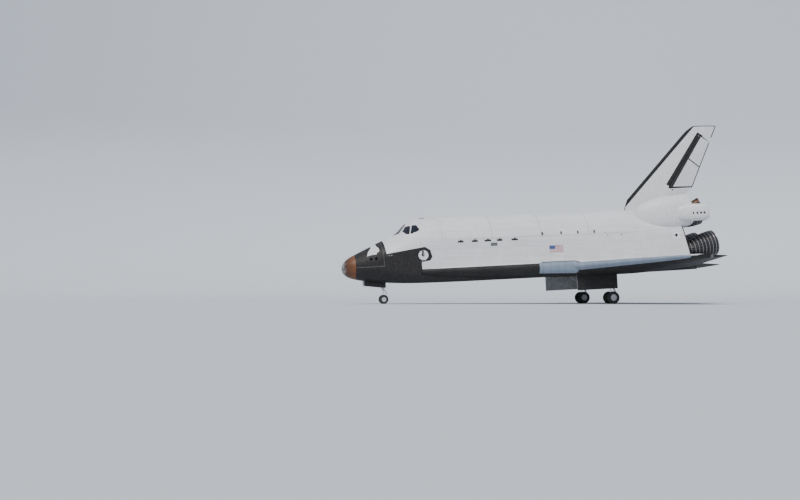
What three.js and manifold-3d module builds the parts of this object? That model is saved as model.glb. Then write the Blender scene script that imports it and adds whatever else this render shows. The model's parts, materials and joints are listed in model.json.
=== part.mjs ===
// A winged orbital space shuttle, full size, parked on its landing gear with the cargo bay closed.
// The airframe's own axes: x runs aft from the nose tip, y to starboard and z up from the cargo bay's axis.
// Everything is built in those axes, in mm, and the whole vehicle is then set down on its wheels.
import * as THREE from "three";
import { mergeVertices } from "three/addons/utils/BufferGeometryUtils.js";
import Module from "manifold-3d";

const wasm = await Module();
wasm.setup();

// Stance and general clearances
const PARKED_PITCH = THREE.MathUtils.degToRad(3); // nose down on its wheels
const SEAT_GAP = 0.4; // between pieces that rest on each other
const RUNNING_GAP = 25; // between a control surface's nose and its cove
const PIN_GAP = 0.3; // round a hinge pin
const PIN_STEPS = 12;

// Fuselage stations
const CAP_END = 1170;
const CAP_ROUNDNESS = 2200; // length of the ellipse that the nose cap is the front of
const CAP_TIP_Z = -1600;
const BAY_FRONT = 8788;
const BAY_BACK = 27076;
const BAY_RADIUS = 2330;
const SKIN = 130; // thickness of the cabin's wall
const CABIN_FRONT = 4850;
const NOSE_JOINT = 4700; // where the nose section meets the cabin's shell
const BULKHEAD = 140;

// Hull sections. The crown is half an ellipse above mid, the chine a quarter ellipse at the lower corner.
const HULL = [
  // x, half width, top, mid, bottom, chine width, chine height
  [1170, 1160, -400, -1495, -2590, 1090, 1095],
  [1600, 1345, -195, -1440, -2690, 1260, 1150],
  [2057, 1520, 10, -1380, -2770, 1400, 1180],
  [2870, 1790, 385, -1200, -2870, 1450, 1200],
  [3937, 2060, 872, -900, -2990, 1400, 1150],
  [5029, 2270, 1380, -600, -3080, 1250, 1050],
  [5613, 2370, 1930, -450, -3115, 1150, 950],
  [6121, 2440, 2370, -300, -3140, 1050, 850],
  [6500, 2480, 2590, -200, -3155, 980, 800],
  [7000, 2530, 2680, -80, -3170, 900, 740],
  [BAY_FRONT, 2640, 2718, 78, -3200, 680, 600],
  [12500, 2640, 2718, 78, -3226, 120, 120],
  [BAY_BACK, 2640, 2718, 78, -3226, 60, 60],
  [29200, 2860, 2718, 78, -3226, 60, 60],
  [32900, 2880, 2690, 78, -3190, 60, 60],
];
const CROWN_STEPS = 7;
const CHINE_STEPS = 3;

// The aft base leans forward towards the top
const BASE_X = 32450; // at the bottom
const BASE_LEAN = 0.24;
const BASE_Z = -2800;

// Cargo bay doors, hinged along the sills
const SILL_Z = 508;
const DOOR_THICK = 150;
const DOOR_GAP = 12;
const CROWN_RADIUS = 2640;
const CROWN_Z = 78;
const DOOR_STEPS = 10;
const DOOR_HINGES = 3;
const DOOR_HINGE = { y: 2626, z: 514, pin: 9, eye: 15, lug: 50 }; // lug is its width along x

// Wing sections to the elevon hinge line. Bumps are how far each surface bulges off the straight line.
const WING = [
  // y, leading edge x, leading edge z, upper bump, lower bump
  [1500, 6706, -2235, 500, 490],
  [2667, 6706, -2235, 500, 490],
  [4775, 20015, -2388, 533, 660],
  [11000, 26240, -2159, 170, 214],
  [11700, 27150, -2130, 125, 150],
  [11896, 27950, -2110, 70, 85],
];
const WING_SHARES = [0, 0.004, 0.02, 0.06, 0.13, 0.24, 0.4, 0.6, 0.8, 1];
const ELEVON_HINGE_X = 29235;
const HINGE_Y = 2667;
const HINGE_Z = -2936;
const HINGE_RISE = 0.0771; // per unit of span
const HINGE_HALF_ROOT = 290; // half the wing's thickness at the hinge
const HINGE_HALF_TIP = 140;
const TIP_Y = 11896;
const TRAILING_X = 32746; // of the wing's trailing edge at the centre line
const TRAILING_SWEEP = 0.1774;
const ELEVONS = [
  // name, inner y, outer y
  ["inboard", 3060, 7800],
  ["outboard", 7960, 11780],
];

const ELEVON_PIN = { radius: 18, length: 100 };
const ELEVON_RIBS = [
  // the fixed ribs between and beside the elevons: inner y, outer y
  [2900, 3040],
  [7820, 7940],
  [11800, 11890],
];

// Leading edge panels, plan view of the line that they end at, and how it moves for a gap of 1
const EDGE_PLAN = [
  // x, y, change of x, change of y
  [17016, 4046, 1, 1.17],
  [20218, 4554, -0.48, 0.94],
  [27980, 12316, -0.71, 0.71],
];

// Body flap
const FLAP_HINGE = new THREE.Vector3(32918, 0, -2880);
const FLAP_RADIUS = 235;
const FLAP_END_X = 34976;
const FLAP_HALF_WIDTH = 2860;
const FLAP_LUGS = { y: 1900, width: 160, gap: 6, eye: 150, pin: 18, pinLength: 60, slotBack: 170 };

// Vertical fin
const FIN_ROOT_Z = 2616;
const FIN_ROOT_X = 26462; // where the leading edge line meets the root
const FIN_ROOT_CHORD = 6820;
const FIN_HEIGHT = 8019;
const FIN_TIP_CHORD = 2755;
const FIN_PEAK = 0.6; // share of the chord at which it is thickest
const FIN_HALF_THICK = 0.0525; // of the chord
const FIN_OUTLINE = [
  // x, z
  [27200, 2560],
  [27285, 3010],
  [27560, 3714],
  [33650, 9804],
  [34060, 10170],
  [34500, 10470],
  [34800, 10635],
  [37080, 10635],
  [37240, 10560],
  [37240, 10400],
  [34265, 4480],
  [32420, 3640],
  [31200, 2560],
];
const RUDDER_LOW_Z = 4597;
const RUDDER_HIGH_Z = 9703;
const RUDDER_END_GAP = 90;
// Radii round the rudder's hinge line, over the fin's half thickness there
const COVE_SHARE = 1.25;
const PANEL_SHARE = 0.97;
const SHAFT_SHARE = 0.25;
const SHAFT_STEPS = 32;
const NOSE_SECTOR = THREE.MathUtils.degToRad(38); // how far each panel's round nose reaches ahead of the hinge
const SPLIT_GAP = 12; // between the two panels

// Engine pods on the aft fuselage's shoulders
const POD = [
  // x, y, z, half width, half height
  [27280, 1500, 2050, 150, 150],
  [27813, 1600, 1900, 620, 1050],
  [28804, 1750, 1980, 1020, 1450],
  [29769, 1830, 2080, 1200, 1600],
  [30760, 1850, 2130, 1290, 1655],
  [32300, 1850, 2315, 1300, 1535],
  [32720, 1850, 2075, 1180, 1125],
];
const POD_STEPS = 18;
const POD_SQUARENESS = 0.8; // 1 is an ellipse, less is squarer
const STINGER = [
  // x, inner y, outer y, low z, high z
  [30700, 2300, 3050, 1500, 2600],
  [31900, 2500, 3560, 1260, 2820],
  [32500, 2820, 3740, 1245, 2840],
  [33500, 2970, 3790, 1260, 2800],
  [33900, 3040, 3720, 1450, 2600],
];
const STINGER_STEPS = 12;
const POD_RELIEF = { root: 900, exit: 1290, tilt: 10.5 }; // room for the top engine when it is tilted up
const ORBITAL_NOZZLE = { x: 32385, y: 2104, z: 2560, pitch: 15.8, yaw: 12.3, length: 1250, exit: 580, flange: 330 };

// Rocket engines: gimbal point, pitch up and outboard yaw, in degrees
const ENGINES = [
  ["engine_top", 30709, 0, 1150, 16, 0],
  ["engine_left", 31298, -1346, -1457, 10, -3.5],
  ["engine_right", 31298, 1346, -1457, 10, 3.5],
];
const ENGINE_LENGTH = 3988; // from the gimbal point to the nozzle's exit
const ENGINE_EXIT = 1194;
const ENGINE_DOME = 1200;
const ENGINE_SOCKET = 1270;
const SOCKET_STEPS = 16;
const ENGINE_STEPS = 22;
const GIMBAL = { pin: 18, eye: 130, halfPost: 90, earIn: 96, earOut: 190, face: 190 };

// Landing gear
const MAIN_AXLE = new THREE.Vector3(23851, 3454, -5376);
const MAIN_TYRE_RADIUS = 565;
const MAIN_TYRE_WIDTH = 406;
const MAIN_WHEEL_SPREAD = 430;
const NOSE_LEG_X = 3658;
const NOSE_TYRE_RADIUS = 406;
const TYRE_STEPS = 20;
const NOSE_TYRE_WIDTH = 224;
const NOSE_WHEEL_SPREAD = 270;
const NOSE_WELL = { x0: 1900, x1: 3870, halfWidth: 480, top: -1950 };
const MAIN_WELL = { x0: 20422, x1: 24257, y0: 2800, y1: 4110, top: -2310 };

const MATERIALS = {
  white: { color: 0xd8d8dc, roughness: 0.6, metalness: 0 },
  black: { color: 0x26262b, roughness: 0.65, metalness: 0 },
  cap: { color: 0x5b3a24, roughness: 0.5, metalness: 0 },
  edge: { color: 0x8f9bab, roughness: 0.5, metalness: 0 },
  glass: { color: 0x14161d, roughness: 0.1, metalness: 0 },
  steel: { color: 0xb9bcc0, roughness: 0.35, metalness: 0.9 },
  nozzle: { color: 0x3b3c42, roughness: 0.5, metalness: 0.6 },
  tyre: { color: 0x1b1b1c, roughness: 0.9, metalness: 0 },
  cabin: { color: 0x6d7077, roughness: 0.7, metalness: 0 },
};

// Solids and meshes

function signedVolume(positions, index) {
  const a = new THREE.Vector3();
  const b = new THREE.Vector3();
  const c = new THREE.Vector3();
  let sum = 0;
  for (let i = 0; i < index.length; i += 3) {
    a.fromArray(positions, 3 * index[i]);
    b.fromArray(positions, 3 * index[i + 1]);
    c.fromArray(positions, 3 * index[i + 2]);
    sum += a.dot(b.cross(c));
  }
  return sum;
}

// A closed geometry as a solid, its faces turned outwards
function solid(geometry) {
  const bare = geometry.index ? geometry.toNonIndexed() : geometry.clone();
  bare.deleteAttribute("normal");
  bare.deleteAttribute("uv");
  const merged = mergeVertices(bare, 1e-3);
  const vertProperties = new Float32Array(merged.attributes.position.array);
  const triVerts = new Uint32Array(merged.index.array);
  if (signedVolume(vertProperties, triVerts) < 0)
    for (let i = 0; i < triVerts.length; i += 3)
      [triVerts[i + 1], triVerts[i + 2]] = [triVerts[i + 2], triVerts[i + 1]];
  return new wasm.Manifold(new wasm.Mesh({ numProp: 3, vertProperties, triVerts }));
}

function geometryOf(body) {
  const mesh = body.getMesh();
  const geometry = new THREE.BufferGeometry()
    .setAttribute("position", new THREE.BufferAttribute(mesh.vertProperties, 3))
    .setIndex(new THREE.BufferAttribute(mesh.triVerts, 1))
    .toNonIndexed();
  geometry.computeVertexNormals();
  return geometry;
}

const vehicle = new THREE.Group();

function addPiece(name, body, look, parent = vehicle) {
  const geometry = body.isBufferGeometry ? body : geometryOf(body);
  const mesh = new THREE.Mesh(geometry, new THREE.MeshStandardMaterial(MATERIALS[look]));
  mesh.name = name;
  parent.add(mesh);
  return mesh;
}

// The starboard twin of a port solid
function mirrored(body) {
  return solid(geometryOf(body).scale(1, -1, 1));
}

// A solid through a list of rings, each an array of Vector3 with the same count
function loft(rings) {
  const count = rings[0].length;
  const positions = rings.flat().flatMap((p) => [p.x, p.y, p.z]);
  const index = [];
  // The diagonals to port mirror those to starboard
  for (let r = 0; r + 1 < rings.length; r++)
    for (let i = 0; i < count; i++) {
      const next = (i + 1) % count;
      const [a, b] = [r * count + i, r * count + next];
      if (rings[r][i].y + rings[r][next].y < 0) index.push(a, b, a + count, b, b + count, a + count);
      else index.push(a, b, b + count, a, b + count, a + count);
    }
  for (const [ring, first] of [[0, true], [rings.length - 1, false]]) {
    const centre = rings[ring].reduce((sum, p) => sum.add(p), new THREE.Vector3()).divideScalar(count);
    const hub = positions.length / 3;
    positions.push(centre.x, centre.y, centre.z);
    for (let i = 0; i < count; i++) {
      const a = ring * count + i;
      const b = ring * count + ((i + 1) % count);
      index.push(...(first ? [b, a, hub] : [a, b, hub]));
    }
  }
  const geometry = new THREE.BufferGeometry()
    .setAttribute("position", new THREE.Float32BufferAttribute(positions, 3))
    .setIndex(index);
  return solid(geometry);
}

function block(x0, x1, y0, y1, z0, z1) {
  const geometry = new THREE.BoxGeometry(x1 - x0, y1 - y0, z1 - z0);
  return solid(geometry.translate((x0 + x1) / 2, (y0 + y1) / 2, (z0 + z1) / 2));
}

// A round bar between two points, tapered if a second radius is given
function bar(from, to, radius, endRadius = radius, steps = 10) {
  const along = to.clone().sub(from);
  const geometry = new THREE.CylinderGeometry(endRadius, radius, along.length(), steps);
  const turn = new THREE.Quaternion().setFromUnitVectors(new THREE.Vector3(0, 1, 0), along.clone().normalize());
  geometry.applyQuaternion(turn).translate(...from.clone().add(to).multiplyScalar(0.5).toArray());
  return solid(geometry);
}

// A pin, and the bore that one turns in, wide enough for the pin's corners to pass its flats
const pin = (from, to, radius, steps = PIN_STEPS) => bar(from, to, radius, radius, steps);
const bore = (from, to, radius, steps = PIN_STEPS) =>
  pin(from, to, (radius + PIN_GAP) / Math.cos(Math.PI / steps), steps);

function ball(centre, radius, steps) {
  const geometry = new THREE.SphereGeometry(radius, steps, steps / 2);
  return solid(geometry.translate(centre.x, centre.y, centre.z));
}

// A plane outline given as [u, v] pairs, extruded along the third axis from low to high
function outline(points, axis, low, high) {
  const shape = new THREE.Shape(points.map(([u, v]) => new THREE.Vector2(u, v)));
  const geometry = new THREE.ExtrudeGeometry(shape, { depth: high - low, bevelEnabled: false });
  if (axis === "y") geometry.rotateX(Math.PI / 2).translate(0, high, 0); // u = x, v = z
  if (axis === "z") geometry.translate(0, 0, low); // u = x, v = y
  if (axis === "x") geometry.rotateZ(Math.PI / 2).rotateY(Math.PI / 2).translate(low, 0, 0); // u = y, v = z
  return solid(geometry);
}

// A profile of [distance, radius] pairs spun about the local x axis, closed on that axis
function spun(profile, steps = ENGINE_STEPS) {
  const points = profile.map(([along, radius]) => new THREE.Vector2(radius, along));
  return new THREE.LatheGeometry(points, steps).rotateZ(-Math.PI / 2);
}

function joined(...bodies) {
  return bodies.reduce((sum, body) => sum.add(body));
}

function moved(body, matrix) {
  return solid(geometryOf(body).applyMatrix4(matrix));
}

const at = (x, y, z) => new THREE.Vector3(x, y, z);

// Fuselage

function tableRow(table, x) {
  const after = table.findIndex((row) => row[0] >= x);
  if (after <= 0) return after === 0 ? [x, ...table[0].slice(1)] : [x, ...table.at(-1).slice(1)];
  const [low, high] = [table[after - 1], table[after]];
  const share = (x - low[0]) / (high[0] - low[0]);
  return low.map((value, column) => value + (high[column] - value) * share);
}

// One hull section, inset from the skin by a wall thickness
function hullRing(x, inset = 0) {
  const [, fullWidth, fullTop, mid, fullBottom, chineWidth, chineHeight] = tableRow(HULL, x);
  const width = fullWidth - inset;
  const top = fullTop - inset * 1.3;
  const bottom = fullBottom + inset;
  const cornerWidth = Math.min(chineWidth, width - 40);
  const half = [];
  for (let i = 0; i <= CROWN_STEPS; i++) {
    const angle = (Math.PI / 2) * (1 - i / CROWN_STEPS);
    half.push([width * Math.cos(angle), mid + (top - mid) * Math.sin(angle)]);
  }
  for (let i = 0; i <= CHINE_STEPS; i++) {
    const angle = (Math.PI / 2) * (i / CHINE_STEPS);
    const y = width - cornerWidth * (1 - Math.cos(angle));
    half.push([y, bottom + chineHeight * (1 - Math.sin(angle)) - 0.001 * (CHINE_STEPS - i)]);
  }
  const port = half.slice(1).reverse().map(([y, z]) => at(x, -y, z));
  return [...half.map(([y, z]) => at(x, y, z)), ...port];
}

function hull(from, to, inset = 0) {
  const stations = HULL.map((row) => row[0]).filter((x) => x > from + 1 && x < to - 1);
  return loft([from, ...stations, to].map((x) => hullRing(x, inset)));
}

function noseCap() {
  const full = Math.sqrt(1 - (1 - CAP_END / CAP_ROUNDNESS) ** 2);
  const rim = hullRing(CAP_END - SEAT_GAP);
  const rimCentre = at(CAP_END, 0, (HULL[0][2] + HULL[0][4]) / 2);
  const rings = [4, 60, 190, 420, 760, CAP_END - SEAT_GAP].map((x) => {
    const size = Math.sqrt(1 - (1 - x / CAP_ROUNDNESS) ** 2) / full;
    const centreZ = CAP_TIP_Z + (rimCentre.z - CAP_TIP_Z) * (x / CAP_END);
    return rim.map((p) => at(x, p.y * size, centreZ + (p.z - rimCentre.z) * size));
  });
  return loft(rings);
}

// Window openings of the flight deck: outlines seen from the side or the front, on the port side
const SIDE_WINDOWS = [
  // outlines of [x, z], from the side
  [[6110, 1330], [6900, 1640], [6700, 2000], [6300, 2010]],
  [[5480, 1330], [6000, 1370], [6130, 1960], [5760, 1760]],
];
const FRONT_WINDOW = [[-60, 1290], [-640, 1290], [-660, 1560], [-560, 2060], [-60, 2120]]; // of [y, z], from the front
const SIDE_WINDOW_DEPTH = [700, 2400];
const FRONT_WINDOW_DEPTH = [4700, 6250];
const HATCH = { x: 7010, z: -762, radius: 508, gap: 18 };
const HATCH_HINGE = { y: 2557, z: -1290, pin: 9, eye: 15, lug: 50, spread: 150 };
const HATCH_STEPS = 24;

function windowCuts() {
  const port = joined(
    ...SIDE_WINDOWS.map((points) => outline(points, "y", -SIDE_WINDOW_DEPTH[1], -SIDE_WINDOW_DEPTH[0])),
    outline(FRONT_WINDOW, "x", ...FRONT_WINDOW_DEPTH),
  );
  return port.add(mirrored(port));
}

function hatchPlug(radius) {
  return bar(at(HATCH.x, -1500, HATCH.z), at(HATCH.x, -3000, HATCH.z), radius, radius, HATCH_STEPS);
}

// An eye round a hinge axis along x, with its arm as an outline of [y, z] from that axis, to port
function lug(hinge, x0, x1, arm) {
  const points = arm.map(([y, z]) => [y - hinge.y, z + hinge.z]);
  const eye = bar(at(x0, -hinge.y, hinge.z), at(x1, -hinge.y, hinge.z), hinge.eye);
  return outline(points, "x", x0, x1).add(eye);
}

// The fixed half of a hinge: a lug, and the pin that sticks out of it through the moving one
function pinnedLug(hinge, x, arm) {
  const [near, far] = [x + hinge.lug / 2 + PIN_GAP, x + hinge.lug * 1.5];
  const end = x - hinge.lug / 2 - 8;
  return lug(hinge, near, far, arm).add(pin(at(end, -hinge.y, hinge.z), at(far, -hinge.y, hinge.z), hinge.pin));
}

// The moving half: one lug, joined to its panel and bored for the pin
function hung(panel, hinge, x, arm) {
  const [x0, x1] = [x - hinge.lug / 2, x + hinge.lug / 2];
  return panel
    .add(lug(hinge, x0, x1, arm))
    .subtract(bore(at(x0 - 1, -hinge.y, hinge.z), at(x1 + 1, -hinge.y, hinge.z), hinge.pin));
}

const cabinSpace = (inset) => hull(CABIN_FRONT, BAY_FRONT + 50, inset);
const hatchHingesX = [HATCH.x - HATCH_HINGE.spread, HATCH.x + HATCH_HINGE.spread];
const HATCH_FIXED_ARM = [[-15, 0], [-12, -60], [80, -80], [80, -10], [9, -5], [9, 0]];
const HATCH_MOVING_ARM = [[-15, 0], [-12, 100], [80, 120], [80, 75], [9, 60], [9, 0]];

// The nose, ahead of the cabin, with the well that its wheels fold into
function noseSection() {
  const well = block(
    NOSE_WELL.x0, NOSE_WELL.x1, -NOSE_WELL.halfWidth, NOSE_WELL.halfWidth, -3500, NOSE_WELL.top);
  return hull(CAP_END, NOSE_JOINT - SEAT_GAP).subtract(well);
}

function forwardFuselage() {
  const shell = hull(NOSE_JOINT, BAY_FRONT - SEAT_GAP)
    .subtract(cabinSpace(SKIN))
    .subtract(windowCuts())
    .subtract(hatchPlug(HATCH.radius + HATCH.gap));
  return joined(shell, ...hatchHingesX.map((x) => pinnedLug(HATCH_HINGE, x, HATCH_FIXED_ARM)));
}

// The glazing lies against the inside of the cabin wall, behind the window openings
function windscreen() {
  return cabinSpace(SKIN + SEAT_GAP)
    .subtract(cabinSpace(SKIN + 45))
    .intersect(block(5000, 7000, -2400, 2400, 1150, 2300));
}

const FLIGHT_DECK_Z = 420;
const DECK_WAY = { x0: 7750, x1: 8350, y0: 1250, y1: 1900 }; // the two ways down to the deck below

function flightDeck() {
  const reach = cabinSpace(SKIN + SEAT_GAP);
  const { x0, x1, y0, y1 } = DECK_WAY;
  const way = block(x0, x1, y0, y1, FLIGHT_DECK_Z - 200, FLIGHT_DECK_Z + 100);
  const floor = reach
    .intersect(block(5300, BAY_FRONT - BULKHEAD - SEAT_GAP, -2600, 2600, FLIGHT_DECK_Z - 90, FLIGHT_DECK_Z))
    .subtract(way)
    .subtract(mirrored(way));
  const console = reach.intersect(outline(
    [[5330, FLIGHT_DECK_Z - 10], [5950, FLIGHT_DECK_Z - 10], [6000, 1050], [5650, 1180], [5330, 1050]],
    "y", -1150, 1150));
  const pedestal = block(5800, 7000, -180, 180, FLIGHT_DECK_Z - 10, 900);
  const seats = [-650, 650].map((y) => joined(
    block(6700, 7150, y - 240, y + 240, FLIGHT_DECK_Z - 10, 760),
    outline([[6560, 740], [7240, 740], [7430, 1720], [7310, 1740], [7100, 880], [6560, 860]], "y", y - 260, y + 260),
  ));
  return joined(floor, console, pedestal, ...seats);
}

function cabinBulkhead() {
  const wall = cabinSpace(SKIN + SEAT_GAP)
    .intersect(block(BAY_FRONT - BULKHEAD, BAY_FRONT - SEAT_GAP, -3000, 3000, -4000, 4000));
  const airlock = bar(at(BAY_FRONT - 60, 0, -700), at(BAY_FRONT + 420, 0, -700), 560, 560, 24);
  return wall.add(airlock);
}

function crewHatch() {
  const door = hull(CAP_END, BAY_FRONT - SEAT_GAP).subtract(cabinSpace(SKIN)).intersect(hatchPlug(HATCH.radius));
  return hatchHingesX.reduce((body, x) => hung(body, HATCH_HINGE, x, HATCH_MOVING_ARM), door);
}

const doorHingesX = Array.from(
  { length: DOOR_HINGES }, (_, i) => BAY_FRONT + ((BAY_BACK - BAY_FRONT) * (i + 0.5)) / DOOR_HINGES);
const SILL_ARM = [[-15, 0], [-8, -60], [60, -80], [60, -7], [15, 0]];
const DOOR_ARM = [[-15, 0], [0, 70], [60, 90], [60, 20], [15, 0]];

function midFuselage() {
  const [front, back] = [BAY_FRONT - 100, BAY_BACK + 100];
  const bay = bar(at(front, 0, 0), at(back, 0, 0), BAY_RADIUS, BAY_RADIUS, 40);
  const above = block(front, back, -4000, 4000, SILL_Z, 4000);
  const mouth = block(front, back, -BAY_RADIUS, BAY_RADIUS, 0, 4000);
  const hinges = joined(...doorHingesX.map((x) => pinnedLug(DOOR_HINGE, x, SILL_ARM)));
  return hull(BAY_FRONT, BAY_BACK - SEAT_GAP)
    .subtract(bay)
    .subtract(above)
    .subtract(mouth)
    .add(hinges)
    .add(mirrored(hinges));
}

// Cargo bay door: an arc of shell from the sill to the centre line, on the port side
function bayDoor() {
  const from = Math.asin((SILL_Z - CROWN_Z) / CROWN_RADIUS);
  const to = Math.PI / 2 - DOOR_GAP / CROWN_RADIUS;
  const arc = (radius) =>
    Array.from({ length: DOOR_STEPS + 1 }, (_, i) => {
      const angle = from + ((to - from) * i) / DOOR_STEPS;
      return [-radius * Math.cos(angle), CROWN_Z + radius * Math.sin(angle)];
    });
  const section = [...arc(CROWN_RADIUS), ...arc(CROWN_RADIUS - DOOR_THICK).reverse()];
  const shell = outline(section, "x", BAY_FRONT + DOOR_GAP, BAY_BACK - DOOR_GAP)
    .subtract(block(BAY_FRONT, BAY_BACK, -3000, 0, 0, SILL_Z + DOOR_GAP));
  return doorHingesX.reduce((body, x) => hung(body, DOOR_HINGE, x, DOOR_ARM), shell);
}

function engineAxis(pitch, yaw) {
  const up = THREE.MathUtils.degToRad(pitch);
  const out = THREE.MathUtils.degToRad(yaw);
  return at(Math.cos(up) * Math.cos(out), Math.sin(out), Math.sin(up) * Math.cos(out));
}

// Where each engine is, with its thrust line along x
function engineMatrix([, x, y, z, pitch, yaw]) {
  const turn = new THREE.Quaternion().setFromUnitVectors(at(1, 0, 0), engineAxis(pitch, yaw));
  return new THREE.Matrix4().compose(at(x, y, z), turn, at(1, 1, 1));
}

// The post and cross pin that an engine's gimbal hangs on, reaching aft from its socket's floor
function gimbalPost() {
  const { eye, halfPost, earOut } = GIMBAL;
  const arm = outline([[0, -eye], [0, eye], [-1330, 220], [-1330, -220]], "y", -halfPost, halfPost);
  return joined(arm, bar(at(0, -halfPost, 0), at(0, halfPost, 0), eye, eye, PIN_STEPS),
    pin(at(0, -earOut, 0), at(0, earOut, 0), GIMBAL.pin));
}

const baseX = (z) => BASE_X - BASE_LEAN * (z - BASE_Z);

function aftFuselage() {
  const behindBase = outline(
    [[baseX(-4000), -4000], [38000, -4000], [38000, 4000], [baseX(4000), 4000]], "y", -4000, 4000);
  const whole = hull(BAY_BACK, 32900);
  const heel = outline(
    [[31500, -3190], [32700, -3190], [32700, -2640], [31500, -2500]], "y", -FLAP_HALF_WIDTH, FLAP_HALF_WIDTH);
  let body = whole.subtract(behindBase).add(heel);
  for (const engine of ENGINES) {
    const matrix = engineMatrix(engine);
    const collar = bar(at(500, 0, 0), at(1080, 0, 0), 1330, 760, ENGINE_STEPS);
    body = body
      .add(moved(collar, matrix).subtract(block(20000, 29900, -5000, 5000, -5000, 5000)))
      .subtract(moved(ball(at(0, 0, 0), ENGINE_SOCKET, SOCKET_STEPS), matrix))
      .add(moved(gimbalPost(), matrix));
  }
  const { x, z } = FLAP_HINGE;
  const coveRadius = FLAP_RADIUS + RUNNING_GAP;
  body = body.subtract(bar(at(x, -3000, z), at(x, 3000, z), coveRadius, coveRadius, 24));
  const { eye, width, pinLength } = FLAP_LUGS;
  for (const y of [-FLAP_LUGS.y, FLAP_LUGS.y]) {
    const [y0, y1] = [y - width / 2, y + width / 2];
    body = joined(
      body,
      outline([[x, z - eye], [x, z + eye], [x - 400, z + 180], [x - 400, z - 250]], "y", y0, y1),
      bar(at(x, y0, z), at(x, y1, z), eye, eye, PIN_STEPS),
      pin(at(x, y0 - pinLength, z), at(x, y1 + pinLength, z), FLAP_LUGS.pin),
    );
  }
  return body;
}

// Nozzle bell on its domed heat shield, with the gimbal's two ears, from the gimbal point aft along x
function mainEngine() {
  const { eye, earIn, earOut, face } = GIMBAL;
  const faceAngle = Math.acos(face / ENGINE_DOME);
  const dome = [1, 0.7, 0.36].map((share) => {
    const angle = faceAngle * share;
    return [ENGINE_DOME * Math.cos(angle), ENGINE_DOME * Math.sin(angle)];
  });
  const bell = (share) => 330 + (ENGINE_EXIT - 330) * Math.sin((Math.PI / 2) * share ** 0.72) ** 0.95;
  const outer = [0.08, 0.28, 0.6, 1].map((s) => [1150 + (ENGINE_LENGTH - 1150) * s, bell(s)]);
  const inner = outer.slice(1).map(([along, radius]) => [along, radius - 45]).reverse();
  const nozzle = solid(spun([[face, 0], ...dome, [1150, 380], ...outer, ...inner, [1300, 150], [1250, 0]]));
  const ear = outline([[0, -eye], [0, eye], [face + 40, eye], [face + 40, -eye]], "y", earIn, earOut)
    .add(bar(at(0, earIn, 0), at(0, earOut, 0), eye, eye, PIN_STEPS));
  const hole = bore(at(0, -earOut - 50, 0), at(0, earOut + 50, 0), GIMBAL.pin);
  return joined(nozzle, ear, mirrored(ear)).subtract(hole);
}

// The smaller nozzle on an engine pod, from its flange aft along x
function orbitalNozzle() {
  const { length, exit, flange } = ORBITAL_NOZZLE;
  const bell = [0.2, 0.45, 1].map((share) => [length * share, 150 + (exit - 150) * share ** 0.6]);
  const inner = bell.slice(1).map(([along, radius]) => [along, radius - 25]).reverse();
  return solid(spun([[0, 0], [0, flange], [90, flange], [150, 200], ...bell, ...inner, [320, 0]], 16));
}

const orbitalAxis = engineAxis(ORBITAL_NOZZLE.pitch, -ORBITAL_NOZZLE.yaw);
const orbitalRoot = at(ORBITAL_NOZZLE.x, -ORBITAL_NOZZLE.y, ORBITAL_NOZZLE.z);

function orbitalMatrix() {
  const turn = new THREE.Quaternion().setFromUnitVectors(at(1, 0, 0), orbitalAxis);
  return new THREE.Matrix4().compose(orbitalRoot, turn, at(1, 1, 1));
}

// Engine pod with the thruster housing along its outboard side
function enginePod() {
  const soft = (value, power) => Math.sign(value) * Math.abs(value) ** power;
  const oval = (x, y, z, halfWidth, halfHeight, steps) =>
    Array.from({ length: steps }, (_, i) => {
      const angle = (2 * Math.PI * i) / steps;
      const [across, up] = [Math.cos(angle), Math.sin(angle)].map((value) => soft(value, POD_SQUARENESS));
      return at(x, -y + halfWidth * across, z + halfHeight * up);
    });
  const body = loft(POD.map(([x, y, z, halfWidth, halfHeight]) => oval(x, y, z, halfWidth, halfHeight, POD_STEPS)));
  const housing = loft(STINGER.map(([x, inner, outer, low, high]) =>
    oval(x, (inner + outer) / 2, (low + high) / 2, (outer - inner) / 2, (high - low) / 2, STINGER_STEPS)));
  const seat = orbitalRoot.clone().addScaledVector(orbitalAxis, -SEAT_GAP);
  const behind = orbitalRoot.clone().addScaledVector(orbitalAxis, 900);
  const { flange, exit } = ORBITAL_NOZZLE;
  const [, x, y, z, pitch, yaw] = ENGINES[0];
  const swept = moved(
    bar(at(1000, 0, 0), at(ENGINE_LENGTH + 50, 0, 0), POD_RELIEF.root, POD_RELIEF.exit, ENGINE_STEPS),
    engineMatrix([null, x, y, z, pitch + POD_RELIEF.tilt, yaw]),
  );
  return joined(body, housing).subtract(bar(seat, behind, flange + 40, exit, 16)).subtract(swept);
}

// Wings

const hingeZ = (y) => HINGE_Z + HINGE_RISE * (y - HINGE_Y);
const hingeHalf = (y) =>
  HINGE_HALF_ROOT + (HINGE_HALF_TIP - HINGE_HALF_ROOT) * ((y - HINGE_Y) / (TIP_Y - HINGE_Y));

// A curve that starts round and peaks at one at a third of its length
const bulge = (share) => 2.598 * Math.sqrt(share) * (1 - share);

function portWing() {
  const rings = WING.map(([y, leadX, leadZ, upper, lower]) => {
    const surface = (side, bump) =>
      WING_SHARES.map((share) => {
        const end = hingeZ(y) + side * hingeHalf(y);
        const z = leadZ + (end - leadZ) * share + side * bump * bulge(share);
        return at(leadX + (ELEVON_HINGE_X - leadX) * share, -y, z);
      });
    return [...surface(1, upper), ...surface(-1, lower).slice(1).reverse()];
  });
  return loft(rings);
}

const hingePoint = (y) => at(ELEVON_HINGE_X, -y, hingeZ(y));

// Everything outboard of the leading edge panels' inner ends, drawn back by a gap
function edgeRegion(gap) {
  const plan = EDGE_PLAN.map(([x, y, dx, dy]) => [x + dx * gap, -y - dy * gap]);
  const outside = [[plan[2][0], -13000], [plan[0][0], -13000]];
  return outline([...plan, ...outside], "z", -4200, -800);
}

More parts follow.
